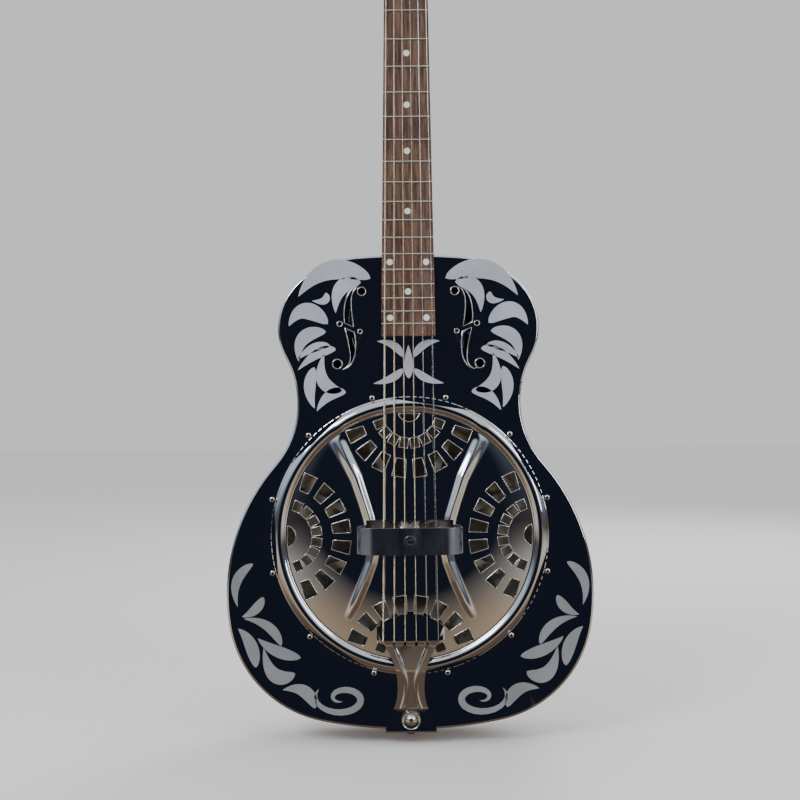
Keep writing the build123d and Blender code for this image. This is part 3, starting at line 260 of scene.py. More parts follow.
# %% [markdown]
# ### Bright plate
# The body and its fittings are brass under polished nickel-chrome. Such sheet is never quite flat: a slow
# warp bends what it mirrors, and fine wiping marks break the gloss here and there. Both are small, because
# too much of either turns a mirror into tinfoil.

# %% Chrome and nickel
def chrome_finish(name, base, low, high, warp, warp_scale=9.0):
    material, tree, shader = new_finish(name, base, 1.0, low)
    wipes = object_noise(tree, (1, 1, 0.25), 60, 6)
    tree.links.new(spread(tree, wipes, low, high), shader.inputs["Roughness"])
    slow = object_noise(tree, (1, 1, 1), warp_scale, 1.5)
    raise_surface(tree, shader, (slow, warp, 0.004))
    return material


CHROME = chrome_finish("bright_plate", (0.66, 0.665, 0.68), 0.015, 0.06, 0.10)
PANEL_CHROME = chrome_finish("bright_plate_panel", (0.62, 0.63, 0.65), 0.02, 0.07, 0.06, 6.0)
NICKEL = chrome_finish("polished_nickel", (0.72, 0.70, 0.66), 0.08, 0.2, 0.02, 30.0)
# The hand rest's dark blue-grey colour is painted reflection: it stands in for the dark surroundings that
# its polished front mirrors. Its brushed roughness is real.
REST_PLATE_PAINTED_REFLECTION = chrome_finish("brushed_rest_plate_painted_reflection", (0.30, 0.33, 0.41), 0.18, 0.30, 0.03, 12.0)
print("bright finishes made")

# %% [markdown]
# ### Etched ornament
# The leaves on the top were etched to a frosty matt that scatters light where the polish around them
# mirrors it. A rough metal with a very fine grain does this: it stays pale from every side.

# %% Etched frost
def etched_finish(name, base, roughness):
    material, tree, shader = new_finish(name, base, 0.35, roughness)
    grain = object_noise(tree, (1, 1, 1), 2600, 2)
    cloud = object_noise(tree, (1, 1, 1), 26, 3)
    darker = tuple(c * 0.82 for c in base)
    tree.links.new(colour_ramp(tree, cloud, ((0.35, darker), (0.65, base))), shader.inputs["Base Color"])
    raise_surface(tree, shader, (grain, 0.25, 0.0001))
    return material


FROST = etched_finish("etched_frost", (0.50, 0.53, 0.60), 0.5)
# The lower leaves get a second, darker copy of the same frost: its darker colour is painted shade.
FROST_PAINTED_SHADE = etched_finish("etched_frost_painted_shade", (0.30, 0.31, 0.33), 0.5)

# %% [markdown]
# ### Woods
# Rosewood is brown with dark streaks and open pores that run with the grain, mahogany is redder and calmer
# under lacquer. Both are noise stretched along the neck: the grain runs up the guitar, along Z.

# %% Rosewood, mahogany and maple
def wood_finish(name, dark, mid, light, stretch, roughness, pores=0.3, **sockets):
    material, tree, shader = new_finish(name, mid, 0.0, roughness, **sockets)
    streaks = object_noise(tree, stretch, 1.0, 6, 0.62)
    fine = object_noise(tree, tuple(s * 5 for s in stretch), 1.0, 3)
    mix = tree.nodes.new("ShaderNodeMath")
    mix.operation = "MULTIPLY_ADD"
    tree.links.new(fine, mix.inputs[0])
    mix.inputs[1].default_value = 0.3
    tree.links.new(streaks, mix.inputs[2])
    stops = ((0.48, dark), (0.62, mid), (0.76, light))
    tree.links.new(colour_ramp(tree, mix.outputs["Value"], stops), shader.inputs["Base Color"])
    tree.links.new(spread(tree, fine, roughness - 0.06, roughness + 0.1), shader.inputs["Roughness"])
    raise_surface(tree, shader, (fine, pores, 0.0003))
    return material


ROSEWOOD = wood_finish(
    "streaked_rosewood", (0.030, 0.013, 0.008), (0.085, 0.040, 0.024), (0.16, 0.088, 0.055),
    (420, 420, 16), 0.42)
MAHOGANY = wood_finish(
    "lacquered_mahogany", (0.075, 0.022, 0.010), (0.14, 0.045, 0.020), (0.20, 0.075, 0.034),
    (260, 260, 14), 0.3, 0.12, Coat_Weight=0.6, Coat_Roughness=0.12)
MAPLE = wood_finish(
    "bare_maple", (0.42, 0.27, 0.14), (0.58, 0.41, 0.24), (0.68, 0.51, 0.33), (220, 220, 20), 0.5)

# %% [markdown]
# ### The rest
# Spun aluminium for the cone, brass for gears and ball ends, bone for the nut, pearl for the dots, a black
# lacquered face for the headstock and cream plastic for the buttons. Wound strings have a wire wrapped
# round them, so their surface is a row of tiny ribs across the string.

# %% Metals, plastics, bone, pearl and strings
def plain_finish(name, base, metallic, low, high, scale, bump=0.05, **sockets):
    material, tree, shader = new_finish(name, base, metallic, low, **sockets)
    blotch = object_noise(tree, (1, 1, 1), scale, 4)
    tree.links.new(spread(tree, blotch, low, high), shader.inputs["Roughness"])
    tone = tuple(c * 0.86 for c in base)
    tree.links.new(colour_ramp(tree, blotch, ((0.3, tone), (0.7, base))), shader.inputs["Base Color"])
    raise_surface(tree, shader, (blotch, bump, 0.0002))
    return material


SPUN = plain_finish("spun_aluminium", (0.46, 0.43, 0.37), 1.0, 0.25, 0.4, 90)
BRASS = plain_finish("plain_brass", (0.72, 0.50, 0.22), 1.0, 0.2, 0.35, 200)
BONE = plain_finish("bone", (0.80, 0.74, 0.60), 0.0, 0.3, 0.45, 300)
BLACK = plain_finish("black_satin", (0.018, 0.018, 0.02), 0.0, 0.3, 0.42, 150)
LACQUER = plain_finish("black_lacquer", (0.012, 0.012, 0.014), 0.0, 0.08, 0.14, 80, 0.01, Coat_Weight=0.8)
CREAM = plain_finish("cream_plastic", (0.78, 0.70, 0.52), 0.0, 0.18, 0.28, 120, 0.02, Coat_Weight=0.4)
PEARL = plain_finish("pearl", (0.82, 0.82, 0.78), 0.0, 0.12, 0.25, 500, 0.02, Coat_Weight=0.7)
FRET = plain_finish("fret_silver", (0.78, 0.75, 0.68), 1.0, 0.14, 0.26, 400)
STEEL = plain_finish("string_steel", (0.86, 0.84, 0.80), 1.0, 0.18, 0.3, 400)
INNER = plain_finish("inner_steel", (0.20, 0.20, 0.21), 1.0, 0.35, 0.5, 60)


def wound_finish():
    material, tree, shader = new_finish("wound_bronze", (0.86, 0.72, 0.52), 1.0, 0.24)
    place = tree.nodes.new("ShaderNodeTexCoord")
    wave = tree.nodes.new("ShaderNodeTexWave")
    wave.bands_direction = "Z"
    wave.inputs["Scale"].default_value = 900
    tree.links.new(place.outputs["Object"], wave.inputs["Vector"])
    raise_surface(tree, shader, (wave.outputs["Fac"], 0.5, 0.0002))
    tarnish = object_noise(tree, (1, 1, 1), 40, 3)
    tones = ((0.35, (0.74, 0.58, 0.38)), (0.65, (0.90, 0.80, 0.62)))
    tree.links.new(colour_ramp(tree, tarnish, tones), shader.inputs["Base Color"])
    return material


WOUND = wound_finish()
print("finishes:", len(bpy.data.materials))

# %% [markdown]
# ## Finishes on the frame
# A piece's slot says what it is made of, and so which finish it gets. Flat wooden and plastic pieces keep
# their CAD mesh. It is loose triangles, which shows as facets on a curved bright surface, so every other
# piece gets a copy whose points are merged and whose shading is smooth. The copy's normals lean towards
# its larger faces, which keeps a flat sheet flat right up to its rounded edge. The body's sides curve all
# the way round, so theirs stay even.

# %% Which finish each piece gets
FINISH_OF_SLOT = {
    "chrome": CHROME, "inner_metal": INNER, "stick_wood": MAPLE, "screw_nickel": NICKEL,
    "cone_aluminium": SPUN, "saddle_maple": MAPLE,
    "black_plastic": BLACK, "neck_mahogany": MAHOGANY, "board_rosewood": ROSEWOOD,
    "fret_nickel": FRET, "dot_pearl": PEARL, "nut_bone": BONE, "head_black": LACQUER, "brass": BRASS,
    "plain_steel": STEEL, "wound_bronze": WOUND, "button_cream": CREAM,
}
OWN_FINISH = {"body_top": PANEL_CHROME, "body_back": PANEL_CHROME, "hand_rest": REST_PLATE_PAINTED_REFLECTION}
KEPT_FLAT = {"fretboard", "headstock_veneer", "nut", "neck_stick", "tail_block", "saddle_inserts",
             "position_dots", "truss_rod_cover"}
SLOT_OF = {row["node"]: row["material_slot"] for row in frame["record"]["subparts"]}
BODY_OF = {name: body for body, names in frame["record"]["behaviour"]["bodies"].items() for name in names}
SMOOTH_ANGLE = 34
ROUNDED_EDGES = {"hand_rest": 0.3}
ROUND_WALLS = {"body_sides"}

finished = {}
for name, node in nodes.items():
    material = OWN_FINISH.get(name, FINISH_OF_SLOT[SLOT_OF[name]])
    if name in KEPT_FLAT:
        node.data.materials.clear()
        node.data.materials.append(material)
        continue
    if name == "coverplate":
        continue
    piece = merged_copy(name, f"{name}_finished")
    if name in ROUNDED_EDGES:
        apply_modifier(piece, "BEVEL", width=ROUNDED_EDGES[name] * MM, segments=2, limit_method="ANGLE",
                       angle_limit=radians(50))
    soften(piece, SMOOTH_ANGLE)
    if name not in ROUND_WALLS:
        apply_modifier(piece, "WEIGHTED_NORMAL", keep_sharp=True, weight=100)
    finished[name] = fit_piece(piece, material, BODY_OF[name], (name,))
print("kept as they are:", len(KEPT_FLAT), "copied smooth:", len(finished))

# %% [markdown]
# ## Rims of the holes
# Several new pieces follow the holes in the sheet metal, so their edges are read from the CAD mesh. A rim
# edge is one where a face of the front meets a wall of the hole. Everything else is deleted from a copy.

# %% Read the rim edges of a piece's holes
FRONT_FACING = -0.8
WALL_FACING = 0.4


def rim_lines(name, title, wanted):
    """The front edges of a piece's holes, as a mesh of edges, where wanted(x, y) holds in millimetres."""
    piece = merged_copy(name, title)
    mesh = piece.data
    beside = {}
    for face in mesh.polygons:
        for key in face.edge_keys:
            beside.setdefault(key, []).append(face.normal.y)
    places = [WORLD_TO_BODY @ v.co / MM for v in mesh.vertices]
    bpy.ops.object.mode_set(mode="EDIT")
    bpy.ops.mesh.select_mode(type="EDGE")
    bpy.ops.mesh.select_all(action="DESELECT")
    bpy.ops.object.mode_set(mode="OBJECT")
    for edge in mesh.edges:
        facing = sorted(beside.get(tuple(sorted(edge.vertices)), ()))
        middle = (places[edge.vertices[0]] + places[edge.vertices[1]]) / 2
        on_rim = len(facing) == 2 and facing[0] < FRONT_FACING and abs(facing[1]) < WALL_FACING
        edge.select = not (on_rim and wanted(middle.x, middle.y))
    bpy.ops.object.mode_set(mode="EDIT")
    bpy.ops.mesh.delete(type="EDGE")
    bpy.ops.mesh.select_all(action="SELECT")
    bpy.ops.mesh.delete_loose(use_verts=True, use_edges=False, use_faces=False)
    bpy.ops.object.mode_set(mode="OBJECT")
    print(title, "edges:", len(piece.data.edges))
    return piece


def rolled_bead(lines, bead, sides=3):
    """Turns a mesh of edges into a round bead that follows them."""
    work_on(lines)
    bpy.ops.object.convert(target="CURVE")
    lines.data.bevel_depth = bead * MM
    lines.data.bevel_resolution = sides
    bpy.ops.object.convert(target="MESH")
    soften(lines, angle=70)
    return lines


# %% [markdown]
# ## The coverplate
# The real plate is one sheet, pressed over a die: a flat flange, a round bead, a shallow dome and two
# pairs of lyre-shaped ridges that run out from under the hand rest, with four fans of holes punched
# through. The steps here are the same. A circle is extruded inwards ring by ring along the plate's
# section, the ridges are pressed by lifting points near their lines, Solidify gives the sheet its
# thickness, and a Boolean punches the holes.

# %% The section of the plate, as radius and height in millimetres
SHEET = 0.9
FLANGE = 0.95
DOME = 13.0
BEAD_OUTER = COVER_RADIUS - 8.0
BEAD_TOP = (COVER_RADIUS - 15.0, 6.4)
BEAD_INNER = (COVER_RADIUS - 22.5, 3.2)


def circle_through(first, second, third):
    """Centre and radius of the circle through three points of the section."""
    rows = np.array([[2 * (b[0] - a[0]), 2 * (b[1] - a[1])] for a, b in ((first, second), (second, third))])
    sums = [b[0] ** 2 - a[0] ** 2 + b[1] ** 2 - a[1] ** 2 for a, b in ((first, second), (second, third))]
    middle = np.linalg.solve(rows, sums)
    return middle[0], middle[1], float(np.hypot(first[0] - middle[0], first[1] - middle[1]))


bead_x, bead_z, bead_radius = circle_through((BEAD_OUTER, FLANGE), BEAD_TOP, BEAD_INNER)
dome_ball = (BEAD_INNER[0] ** 2 + (DOME - BEAD_INNER[1]) ** 2) / (2 * (DOME - BEAD_INNER[1]))


def section_height(radius):
    if radius >= BEAD_OUTER:
        return FLANGE
    if radius >= BEAD_INNER[0]:
        return bead_z + (bead_radius ** 2 - (radius - bead_x) ** 2) ** 0.5
    return DOME - dome_ball + (dome_ball ** 2 - radius ** 2) ** 0.5


BEAD_RINGS = 17
FIRST_STEP = 1.2
RING_STEP = 1.6
LAST_RING = 17.0
INNER_EDGE = 14.0
SECTION = [COVER_RADIUS, COVER_RADIUS - 4, BEAD_OUTER + 1]
SECTION += list(np.linspace(BEAD_OUTER, BEAD_INNER[0], BEAD_RINGS))
SECTION += list(np.arange(BEAD_INNER[0] - FIRST_STEP, LAST_RING, -RING_STEP)) + [INNER_EDGE]
print("rings in the plate:", len(SECTION), "bead radius", round(bead_radius, 1))

# %% Extrude the plate ring by ring
PLATE_SIDES = 400
bpy.ops.object.select_all(action="DESELECT")
bpy.ops.mesh.primitive_circle_add(vertices=PLATE_SIDES, radius=SECTION[0] * MM, fill_type="NOTHING",
                                  location=(0, 0, 0))
plate = bpy.context.object
plate.name = "coverplate_pressed"
bpy.ops.object.mode_set(mode="EDIT")
bpy.ops.mesh.select_all(action="SELECT")
bpy.ops.transform.translate(value=(0, 0, FLANGE * MM))
for outer, inner in zip(SECTION, SECTION[1:]):
    bpy.ops.mesh.extrude_region_move()
    shrink = inner / outer
    bpy.ops.transform.resize(value=(shrink, shrink, 1), center_override=(0, 0, 0))
    bpy.ops.transform.translate(value=(0, 0, (section_height(inner) - section_height(outer)) * MM))
bpy.ops.mesh.select_all(action="SELECT")
bpy.ops.mesh.normals_make_consistent(inside=False)
bpy.ops.object.mode_set(mode="OBJECT")
if plate.data.polygons[0].normal.z < 0:
    plate.data.flip_normals()
print("faces:", len(plate.data.polygons))

# %% [markdown]
# ### Pressing the ridges
# A ridge is a line with a width. Each point of the plate is lifted by how near it lies to that line: most
# on the line, nothing a ridge's width away, and smoothly in between. The lines are drawn for one
# side and mirrored.

# %% Ridge lines on the +X side, as x, y, half width and height in millimetres
UPPER_RIDGE = ((38, 4, 6.0, 3.4), (41, 20, 6.0, 3.8), (46, 36, 6.0, 4.0), (54, 60, 7.0, 3.6),
               (64, 80, 8.0, 2.6), (72, 97, 9.0, 1.6), (68, 112, 8.0, 0.6))
LOWER_RIDGE = ((36, -12, 6.0, 3.4), (39, -26, 6.0, 3.8), (46, -45, 6.0, 3.6), (56, -68, 5.5, 2.4),
               (62, -80, 4.5, 0.6))


def lift_from_line(points, line):
    """How much each (x, y) point is lifted by a ridge line."""
    lift = np.zeros(len(points))
    for (x0, y0, w0, h0), (x1, y1, w1, h1) in zip(line, line[1:]):
        along = np.array((x1 - x0, y1 - y0))
        share = np.clip(((points - (x0, y0)) @ along) / (along @ along), 0, 1)
        away = np.hypot(points[:, 0] - x0 - share * along[0], points[:, 1] - y0 - share * along[1])
        near = np.clip(1 - away / (w0 + (w1 - w0) * share), 0, 1)
        lift = np.maximum(lift, (h0 + (h1 - h0) * share) * near ** 2 * (3 - 2 * near))
    return lift


corners = np.zeros(len(plate.data.vertices) * 3)
plate.data.vertices.foreach_get("co", corners)
corners = corners.reshape(-1, 3)
half_plane = np.column_stack((np.abs(corners[:, 0]), corners[:, 1])) / MM
lift = np.maximum(lift_from_line(half_plane, UPPER_RIDGE), lift_from_line(half_plane, LOWER_RIDGE))
corners[:, 2] += lift * MM
plate.data.vertices.foreach_set("co", corners.ravel())
plate.data.update()
apply_modifier(plate, "SOLIDIFY", thickness=SHEET * MM, offset=-1.0)
settle(plate, BODY_TO_WORLD)
print("highest ridge (mm):", round(float(lift.max()), 2))

# %% [markdown]
# ### Punching the holes
# The punch is made from the rims of the CAD plate's holes. They are flattened and parted hole by hole.
# Each one is filled and extruded into a tall block of its own, so each hole is just where the CAD plate
# has it. A second copy of the rims becomes the fine bright lips of the fans.

# %% Punch the holes and roll their lips
PUNCH_DEPTH = 0.05
LIP = 0.42
REST_HALF_LENGTH = 45
REST_HALF_WIDTH = 18


def inside_plate(x, y):
    return x * x + y * y < (COVER_RADIUS - 1) ** 2


def in_a_fan(x, y):
    beside_rest = abs(x) > REST_HALF_LENGTH or abs(y) > REST_HALF_WIDTH
    return inside_plate(x, y) and x * x + y * y < BEAD_INNER[0] ** 2 and beside_rest


def hole_block(rim):
    """Fills one flat rim and extrudes it into a block."""
    work_on(rim)
    bpy.ops.object.mode_set(mode="EDIT")
    bpy.ops.mesh.select_all(action="SELECT")
    bpy.ops.mesh.edge_face_add()
    bpy.ops.mesh.select_all(action="SELECT")
    bpy.ops.mesh.extrude_region_move(TRANSFORM_OT_translate={"value": (0, PUNCH_DEPTH, 0)})
    bpy.ops.mesh.select_all(action="SELECT")
    bpy.ops.mesh.normals_make_consistent(inside=False)
    bpy.ops.object.mode_set(mode="OBJECT")
    return rim


rims = rim_lines("coverplate", "punch", inside_plate)
work_on(rims)
others = set(bpy.data.objects) - {rims}
bpy.ops.object.mode_set(mode="EDIT")
bpy.ops.mesh.select_all(action="SELECT")
bpy.ops.transform.resize(value=(1, 0, 1), center_override=(0, TOP_FACE - PUNCH_DEPTH / 2, 0))
bpy.ops.mesh.remove_doubles(threshold=1e-6)
bpy.ops.mesh.separate(type="LOOSE")
bpy.ops.object.mode_set(mode="OBJECT")
blocks = [hole_block(rim) for rim in bpy.data.objects if rim not in others]
print("holes to punch:", len(blocks))
punch = join(blocks, "punch")
apply_modifier(plate, "BOOLEAN", operation="DIFFERENCE", object=punch, solver="EXACT")
bpy.data.objects.remove(punch)
soften(plate, angle=30)
fit_piece(plate, CHROME, "root", ("coverplate",))
lips = rolled_bead(rim_lines("coverplate", "fan_lips", in_a_fan), LIP)
fit_piece(lips, NICKEL)
print("coverplate triangles:", sum(len(p.vertices) - 2 for p in plate.data.polygons))

# %% [markdown]
# ## The f-holes' rims
# Each f-hole's edge is rolled up into a fine bright bead, which follows the hole's own rim.

# %% Rims of the f-holes
F_RIM = 0.6
F_HOLE_INNER = 40
F_HOLE_FOOT = 160
F_HOLE_HEAD = 262


def in_an_f_hole(x, y):
    return abs(x) > F_HOLE_INNER and F_HOLE_FOOT < y < F_HOLE_HEAD


f_rims = rolled_bead(rim_lines("body_top", "f_hole_rims", in_an_f_hole), F_RIM)
fit_piece(f_rims, CHROME)

# %% [markdown]
# ## Etched ornament
# The top carries sprays of leaves, etched to a frosty matt. Every leaf here is one shape: a fine grid laid
# along a curved spine, whose width swells and then runs out to a point. A leaf is given by where it
# starts, the point that its spine bends towards, its tip and its width. A scroll is the same shape along a
# spiral. They lie a hair proud of the polished top, and each is mirrored to the other side.

# %% Leaves, as (start, bend, tip, width) in millimetres on the +X side
UPPER_LEAVES = (
    ((38, 262), (86, 288), (112, 244), 20), ((48, 258), (76, 262), (74, 227), 15),
    ((84, 248), (80, 236), (98, 240), 8),
    ((82, 216), (108, 244), (122, 214), 17), ((84, 208), (116, 210), (112, 178), 14),
    ((80, 194), (98, 196), (113, 180), 9), ((74, 190), (92, 192), (113, 169), 10),
    ((96, 172), (106, 150), (96, 130), 12), ((68, 148), (98, 150), (86, 186), 13),
    ((64, 146), (82, 150), (94, 127), 11),
)
LOWER_LEAVES = (
    ((160, -28), (186, -42), (176, -72), 10), ((150, -62), (156, -78), (172, -82), 10),
    ((132, -112), (140, -86), (170, -84), 10), ((158, -134), (160, -106), (176, -94), 13),
    ((112, -124), (140, -120), (156, -104), 12), ((118, -140), (144, -156), (150, -114), 15),
    ((98, -176), (104, -150), (131, -157), 13),
)
MIDDLE_LEAVES = (((6, 182), (12, 198), (32, 198), 8), ((6, 170), (14, 158), (36, 155), 8))
FROST_LIFT = 0.02
FROST_THICKNESS = 0.10
LEAF_STEPS = 28
LEAF_SWELL = 0.75
LEAF_FULLNESS = 0.8
SCROLL_CENTRE = (70, -166)
SCROLL_OUTER = 29.0
SCROLL_INNER = 5.0
SCROLL_TURNS = 1.35
SCROLL_START = 35
SCROLL_FLATTEN = 0.62
SCROLL_WIDTH = 7.0


def leaf_mesh(title, spine, width):
    """A flat leaf along a spine, a function from 0..1 to a point, lying on the top."""
    bpy.ops.object.select_all(action="DESELECT")
    bpy.ops.mesh.primitive_grid_add(x_subdivisions=LEAF_STEPS, y_subdivisions=4, size=2, location=(0, 0, 0))
    leaf = bpy.context.object
    leaf.name = title
    for vertex in leaf.data.vertices:
        share = (vertex.co.x + 1) / 2
        here, ahead = spine(share), spine(share + 0.01)
        across = Vector((here.y - ahead.y, ahead.x - here.x)).normalized()
        half = width / 2 * max(0.0, sin(pi * min(share, 1.0) ** LEAF_SWELL)) ** LEAF_FULLNESS
        place = here + across * half * vertex.co.y
        vertex.co = (place.x * MM, place.y * MM, (FROST_LIFT + FROST_THICKNESS) * MM)
    bpy.ops.object.mode_set(mode="EDIT")
    bpy.ops.mesh.select_all(action="SELECT")
    bpy.ops.mesh.remove_doubles(threshold=1e-6)
    bpy.ops.mesh.normals_make_consistent(inside=False)
    bpy.ops.object.mode_set(mode="OBJECT")
    if leaf.data.polygons[len(leaf.data.polygons) // 2].normal.z < 0:
        leaf.data.flip_normals()
    apply_modifier(leaf, "SOLIDIFY", thickness=FROST_THICKNESS * MM, offset=-1.0)
    return leaf


def bent_spine(start, bend, tip, side):
    """A spine from start to tip that bends towards a third point."""
    first, second, third = (Vector((side * x, y)) for x, y in (start, bend, tip))
    return lambda share: first * (1 - share) ** 2 + second * 2 * share * (1 - share) + third * share ** 2


def scroll_spine(side):
    """A spiral that winds in from the lower edge of the top."""
    middle = Vector(SCROLL_CENTRE)

    def spine(share):
        turn = radians(SCROLL_START) - 2 * pi * SCROLL_TURNS * share
        reach = SCROLL_OUTER + (SCROLL_INNER - SCROLL_OUTER) * share
        return Vector((side * (middle.x + reach * cos(turn)), middle.y + reach * SCROLL_FLATTEN * sin(turn)))
    return spine


# %% Lay the leaves on the top
def spray(title, leaves, material, extra=()):
    """All the leaves of one spray on both sides, as one piece."""
    made = list(extra)
    for side in (1, -1):
        for index, (start, bend, tip, width) in enumerate(leaves):
            made.append(leaf_mesh(f"leaf_{index}", bent_spine(start, bend, tip, side), width))
    piece = join(made, title)
    settle(piece, BODY_TO_WORLD)
    return fit_piece(piece, material)


scrolls = [leaf_mesh("scroll", scroll_spine(side), SCROLL_WIDTH) for side in (1, -1)]
centre_leaf = leaf_mesh("centre_leaf", bent_spine((0, 160), (0, 176), (0, 194), 1), 9)
spray("etched_upper_leaves", UPPER_LEAVES, FROST)
# The lower spray takes the darker frost, whose colour is painted shade.
spray("etched_lower_leaves", LOWER_LEAVES, FROST_PAINTED_SHADE, scrolls)
spray("etched_middle_leaves", MIDDLE_LEAVES, FROST, (centre_leaf,))
print("ornament laid")

# %% [markdown]
# ## The tailpiece's ribs
# Two half-round ribs stiffen the tailpiece's arm. They part under the hood, run close together at the
# waist and part again at the foot. Each is a bevelled curve half sunk in the arm, and the arm's own
# surface gives its height.

# %% Ribs on the arm
RIB_SUNK = 0.8
RIB_LINE = ((16, 112, 2.4), (12, 122, 3.0), (7, 138, 3.3), (5, 153, 3.1), (6.5, 166, 2.8), (10, 176, 2.2))
arm = BVHTree.FromPolygons([v.co for v in finished["tailpiece"].data.vertices],
                           [p.vertices for p in finished["tailpiece"].data.polygons])


def arm_height(x, y):
    """Height of the tailpiece's front over the top, in millimetres."""
    start = BODY_TO_WORLD @ Vector((x * MM, y * MM, 0.1))
    hit = arm.ray_cast(start, Vector((0, 1, 0)))[0]
    return (WORLD_TO_BODY @ hit).z / MM


def rib(side):
    """One rib, drawn as a curve whose points carry their own thickness."""
    curve = bpy.data.curves.new("tailpiece_rib", "CURVE")
    curve.dimensions = "3D"
    curve.bevel_depth = MM
    curve.bevel_resolution = 6
    curve.use_fill_caps = True
    spline = curve.splines.new("BEZIER")
    spline.bezier_points.add(len(RIB_LINE) - 1)
    for knot, (x, reach, width) in zip(spline.bezier_points, RIB_LINE):
        knot.co = Vector((side * x, -reach, arm_height(side * x, -reach) - RIB_SUNK)) * MM
        knot.radius = width
        knot.handle_left_type = knot.handle_right_type = "AUTO"
    piece = bpy.data.objects.new("tailpiece_rib", curve)
    bpy.context.scene.collection.objects.link(piece)
    work_on(piece)
    bpy.ops.object.convert(target="MESH")
    return piece


ribs = join([rib(1), rib(-1)], "tailpiece_ribs")
soften(ribs, angle=50)
settle(ribs, BODY_TO_WORLD)
fit_piece(ribs, CHROME)
print("ribs made")

# %% [markdown]
# ## Turns of string on the posts
# Where a string is wound on its post it lies in separate turns, and the CAD string has one smooth sleeve
# there. The sleeve's size is measured on the mesh round the post's axis, the sleeve is thinned, and three
# tori are laid over it.

# %% Three turns on each post
TURNS = 3
POST_REACH = 7
SLEEVE_FROM = 0.6
SLEEVE_PAST = 0.2
SLEEVE_LEFT = 0.5
joints = {joint["name"]: joint for joint in frame["joints"]}
for number in range(1, 7):
    string = finished[f"string_{number}"]
    axis = Vector(joints[f"post_{number}_turn"]["axis"])
    foot = Vector(joints[f"post_{number}_turn"]["pos_m"])
    low, high = 1.0, -1.0
    inner, outer = 1.0, 0.0
    for vertex in string.data.vertices:
        height = (vertex.co - foot).dot(axis)
        away = (vertex.co - foot - axis * height).length
        if away < POST_REACH * MM:
            low, high = min(low, height), max(high, height)
            inner, outer = min(inner, away), max(outer, away)
    gauge = (high - low) / TURNS
    outer = min(outer, inner + gauge)
    for vertex in string.data.vertices:
        height = (vertex.co - foot).dot(axis)
        out = vertex.co - foot - axis * height
        if inner + gauge * SLEEVE_FROM < out.length < outer + gauge * SLEEVE_PAST:
            vertex.co = foot + axis * height + out.normalized() * (inner + gauge * SLEEVE_LEFT)
    turns = []
    for turn in range(TURNS):
        bpy.ops.object.select_all(action="DESELECT")
        bpy.ops.mesh.primitive_torus_add(major_radius=inner + gauge / 2, minor_radius=gauge / 2,
                                         major_segments=48, minor_segments=12,
                                         location=(0, 0, low + gauge * (turn + 0.5)))
        turns.append(bpy.context.object)
    winding = join(turns, f"string_turns_{number}")
    bpy.ops.object.transform_apply(location=True, rotation=True, scale=True)
    soften(winding, angle=60)
    settle(winding, Matrix.Translation(foot) @ axis.to_track_quat("Z", "Y").to_matrix().to_4x4())
    fit_piece(winding, FINISH_OF_SLOT[SLOT_OF[f"string_{number}"]], "root")
    middle = inner + gauge / 2
    print("string", number, "gauge (mm)", round(gauge / MM, 2), "turns at", round(middle / MM, 2))

# %% [markdown]
# ## Floor and light
# The guitar is shown over a plain pale floor in a plain studio. Mirror plate shows whatever stands round
# it, and an evenly white studio makes it look like plaster. So mirrored rays see a simple gradient
# instead: dark straight ahead of the top, as a photographer's black card would be, pale and cool above and
# warm below. They pass through the floor too, and everything else sees an even pale light.

# %% The pale floor
FLOOR_GAP = 0.002
FLOOR_SIZE = 14
bpy.ops.object.select_all(action="DESELECT")
bpy.ops.mesh.primitive_plane_add(size=FLOOR_SIZE, location=(0, 0, frame_box[0].z - FLOOR_GAP))
floor = bpy.context.object
floor.name = "pale_floor"
bpy.ops.object.transform_apply(location=True, rotation=True, scale=True)
floor.data.materials.append(new_finish("pale_paper", (0.93, 0.92, 0.91), 0.0, 0.85)[0])
floor.visible_glossy = False
floor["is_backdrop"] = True

# %% The surroundings
EVEN_LIGHT = 0.85
world = bpy.data.worlds.new("studio")
bpy.context.scene.world = world
world.use_nodes = True
tree = world.node_tree
tree.nodes.clear()


def mix_colours(factor, first, second):
    """Mixes two colour sockets."""
    node = tree.nodes.new("ShaderNodeMix")
    node.data_type = "RGBA"
    tree.links.new(factor, node.inputs[0])
    for socket, value in ((node.inputs[6], first), (node.inputs[7], second)):
        if isinstance(value, tuple):
            socket.default_value = (*value, 1)
        else:
            tree.links.new(value, socket)
    return node.outputs[2]


direction = tree.nodes.new("ShaderNodeTexCoord").outputs["Generated"]
split = tree.nodes.new("ShaderNodeSeparateXYZ")
tree.links.new(direction, split.inputs["Vector"])
height = spread(tree, split.outputs["Z"], 0.0, 1.0, -0.6, 0.6)
around = colour_ramp(tree, height, (
    (0.0, (0.14, 0.10, 0.075)), (0.2, (0.58, 0.44, 0.30)),
    (0.34, (0.74, 0.70, 0.64)), (0.44, (0.13, 0.10, 0.08)),
    (0.52, (0.10, 0.12, 0.16)), (0.72, (0.62, 0.70, 0.82)), (1.0, (0.85, 0.88, 0.92))))
ahead = spread(tree, split.outputs["Y"], 1.0, 0.0, -0.95, -0.87)
around = mix_colours(ahead, around, (0.010, 0.013, 0.024))

mirrored = tree.nodes.new("ShaderNodeBackground")
tree.links.new(around, mirrored.inputs["Color"])
even = tree.nodes.new("ShaderNodeBackground")
even.inputs["Color"].default_value = (0.86, 0.87, 0.89, 1)
even.inputs["Strength"].default_value = EVEN_LIGHT
rays = tree.nodes.new("ShaderNodeLightPath")
choose = tree.nodes.new("ShaderNodeMixShader")
tree.links.new(rays.outputs["Is Glossy Ray"], choose.inputs["Fac"])
tree.links.new(even.outputs["Background"], choose.inputs[1])
tree.links.new(mirrored.outputs["Background"], choose.inputs[2])
output = tree.nodes.new("ShaderNodeOutputWorld")
tree.links.new(choose.outputs["Shader"], output.inputs["Surface"])

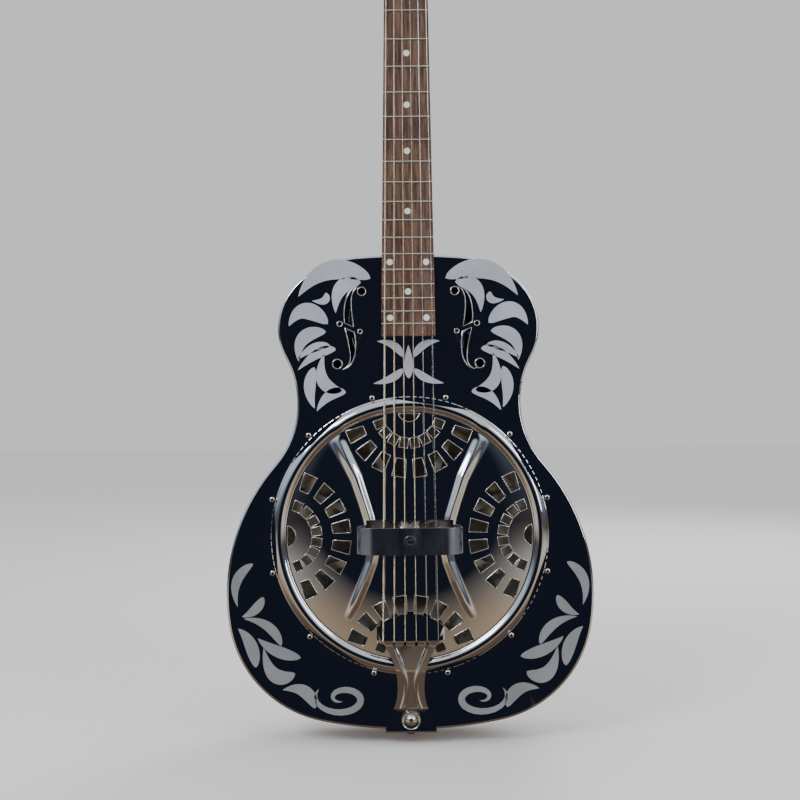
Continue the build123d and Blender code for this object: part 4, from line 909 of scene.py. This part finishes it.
# %% [markdown]
# Soft lamps stand outside the cone that the flat top mirrors towards the viewer, so they light the etched
# frost and draw highlights only on the bead, the ridges and the fittings.

# %% Lamps
def soft_lamp(name, place, aim, width, height, power, colour):
    """An area lamp at a place, turned towards an aim."""
    lamp = bpy.data.lights.new(name, "AREA")
    lamp.shape = "RECTANGLE"
    lamp.size, lamp.size_y = width, height
    lamp.energy = power
    lamp.color = colour
    holder = bpy.data.objects.new(name, lamp)
    bpy.context.scene.collection.objects.link(holder)
    holder.location = place
    holder.rotation_euler = (Vector(aim) - Vector(place)).to_track_quat("-Z", "Y").to_euler()


AIM = (0, 0, -0.45)
soft_lamp("key", (-1.25, -1.45, 0.75), AIM, 0.8, 0.8, 22, (0.93, 0.97, 1.0))
soft_lamp("fill", (1.5, -1.3, 0.1), AIM, 0.35, 1.4, 10, (1.0, 0.97, 0.93))
soft_lamp("back", (0.9, 1.7, 0.6), AIM, 1.0, 1.0, 18, (1.0, 0.99, 0.97))

# %% [markdown]
# ## Camera
# The view is square on to the body from a little over a metre, with the neck running out of the top of the
# frame, and it is turned by less than half a degree.

# %% Camera
VIEW_SIDE = -0.009
VIEW_RISE = 0.138
VIEW_ROLL = 0.43
VIEW_DISTANCE = 1.15
VIEW_WIDTH = 0.816
SENSOR = 36.0
camera_data = bpy.data.cameras.new("view")
camera_data.sensor_width = SENSOR
camera_data.lens = SENSOR * VIEW_DISTANCE / VIEW_WIDTH
camera = bpy.data.objects.new("view", camera_data)
bpy.context.scene.collection.objects.link(camera)
camera.location = (VIEW_SIDE, TOP_FACE - VIEW_DISTANCE, CENTRE.z + VIEW_RISE)
camera.rotation_euler = (pi / 2, radians(VIEW_ROLL), 0)
bpy.context.scene.camera = camera

# %% [markdown]
# ## Compare the sizes
# Both boxes, the CAD model's and the finished model's, are printed in millimetres.

# %% Boxes and finish
finished_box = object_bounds()
sizes = {"cad": [list(corner) for corner in frame_box], "visual": [list(corner) for corner in finished_box]}
print({name: [[round(c / MM, 1) for c in corner] for corner in box] for name, box in sizes.items()})
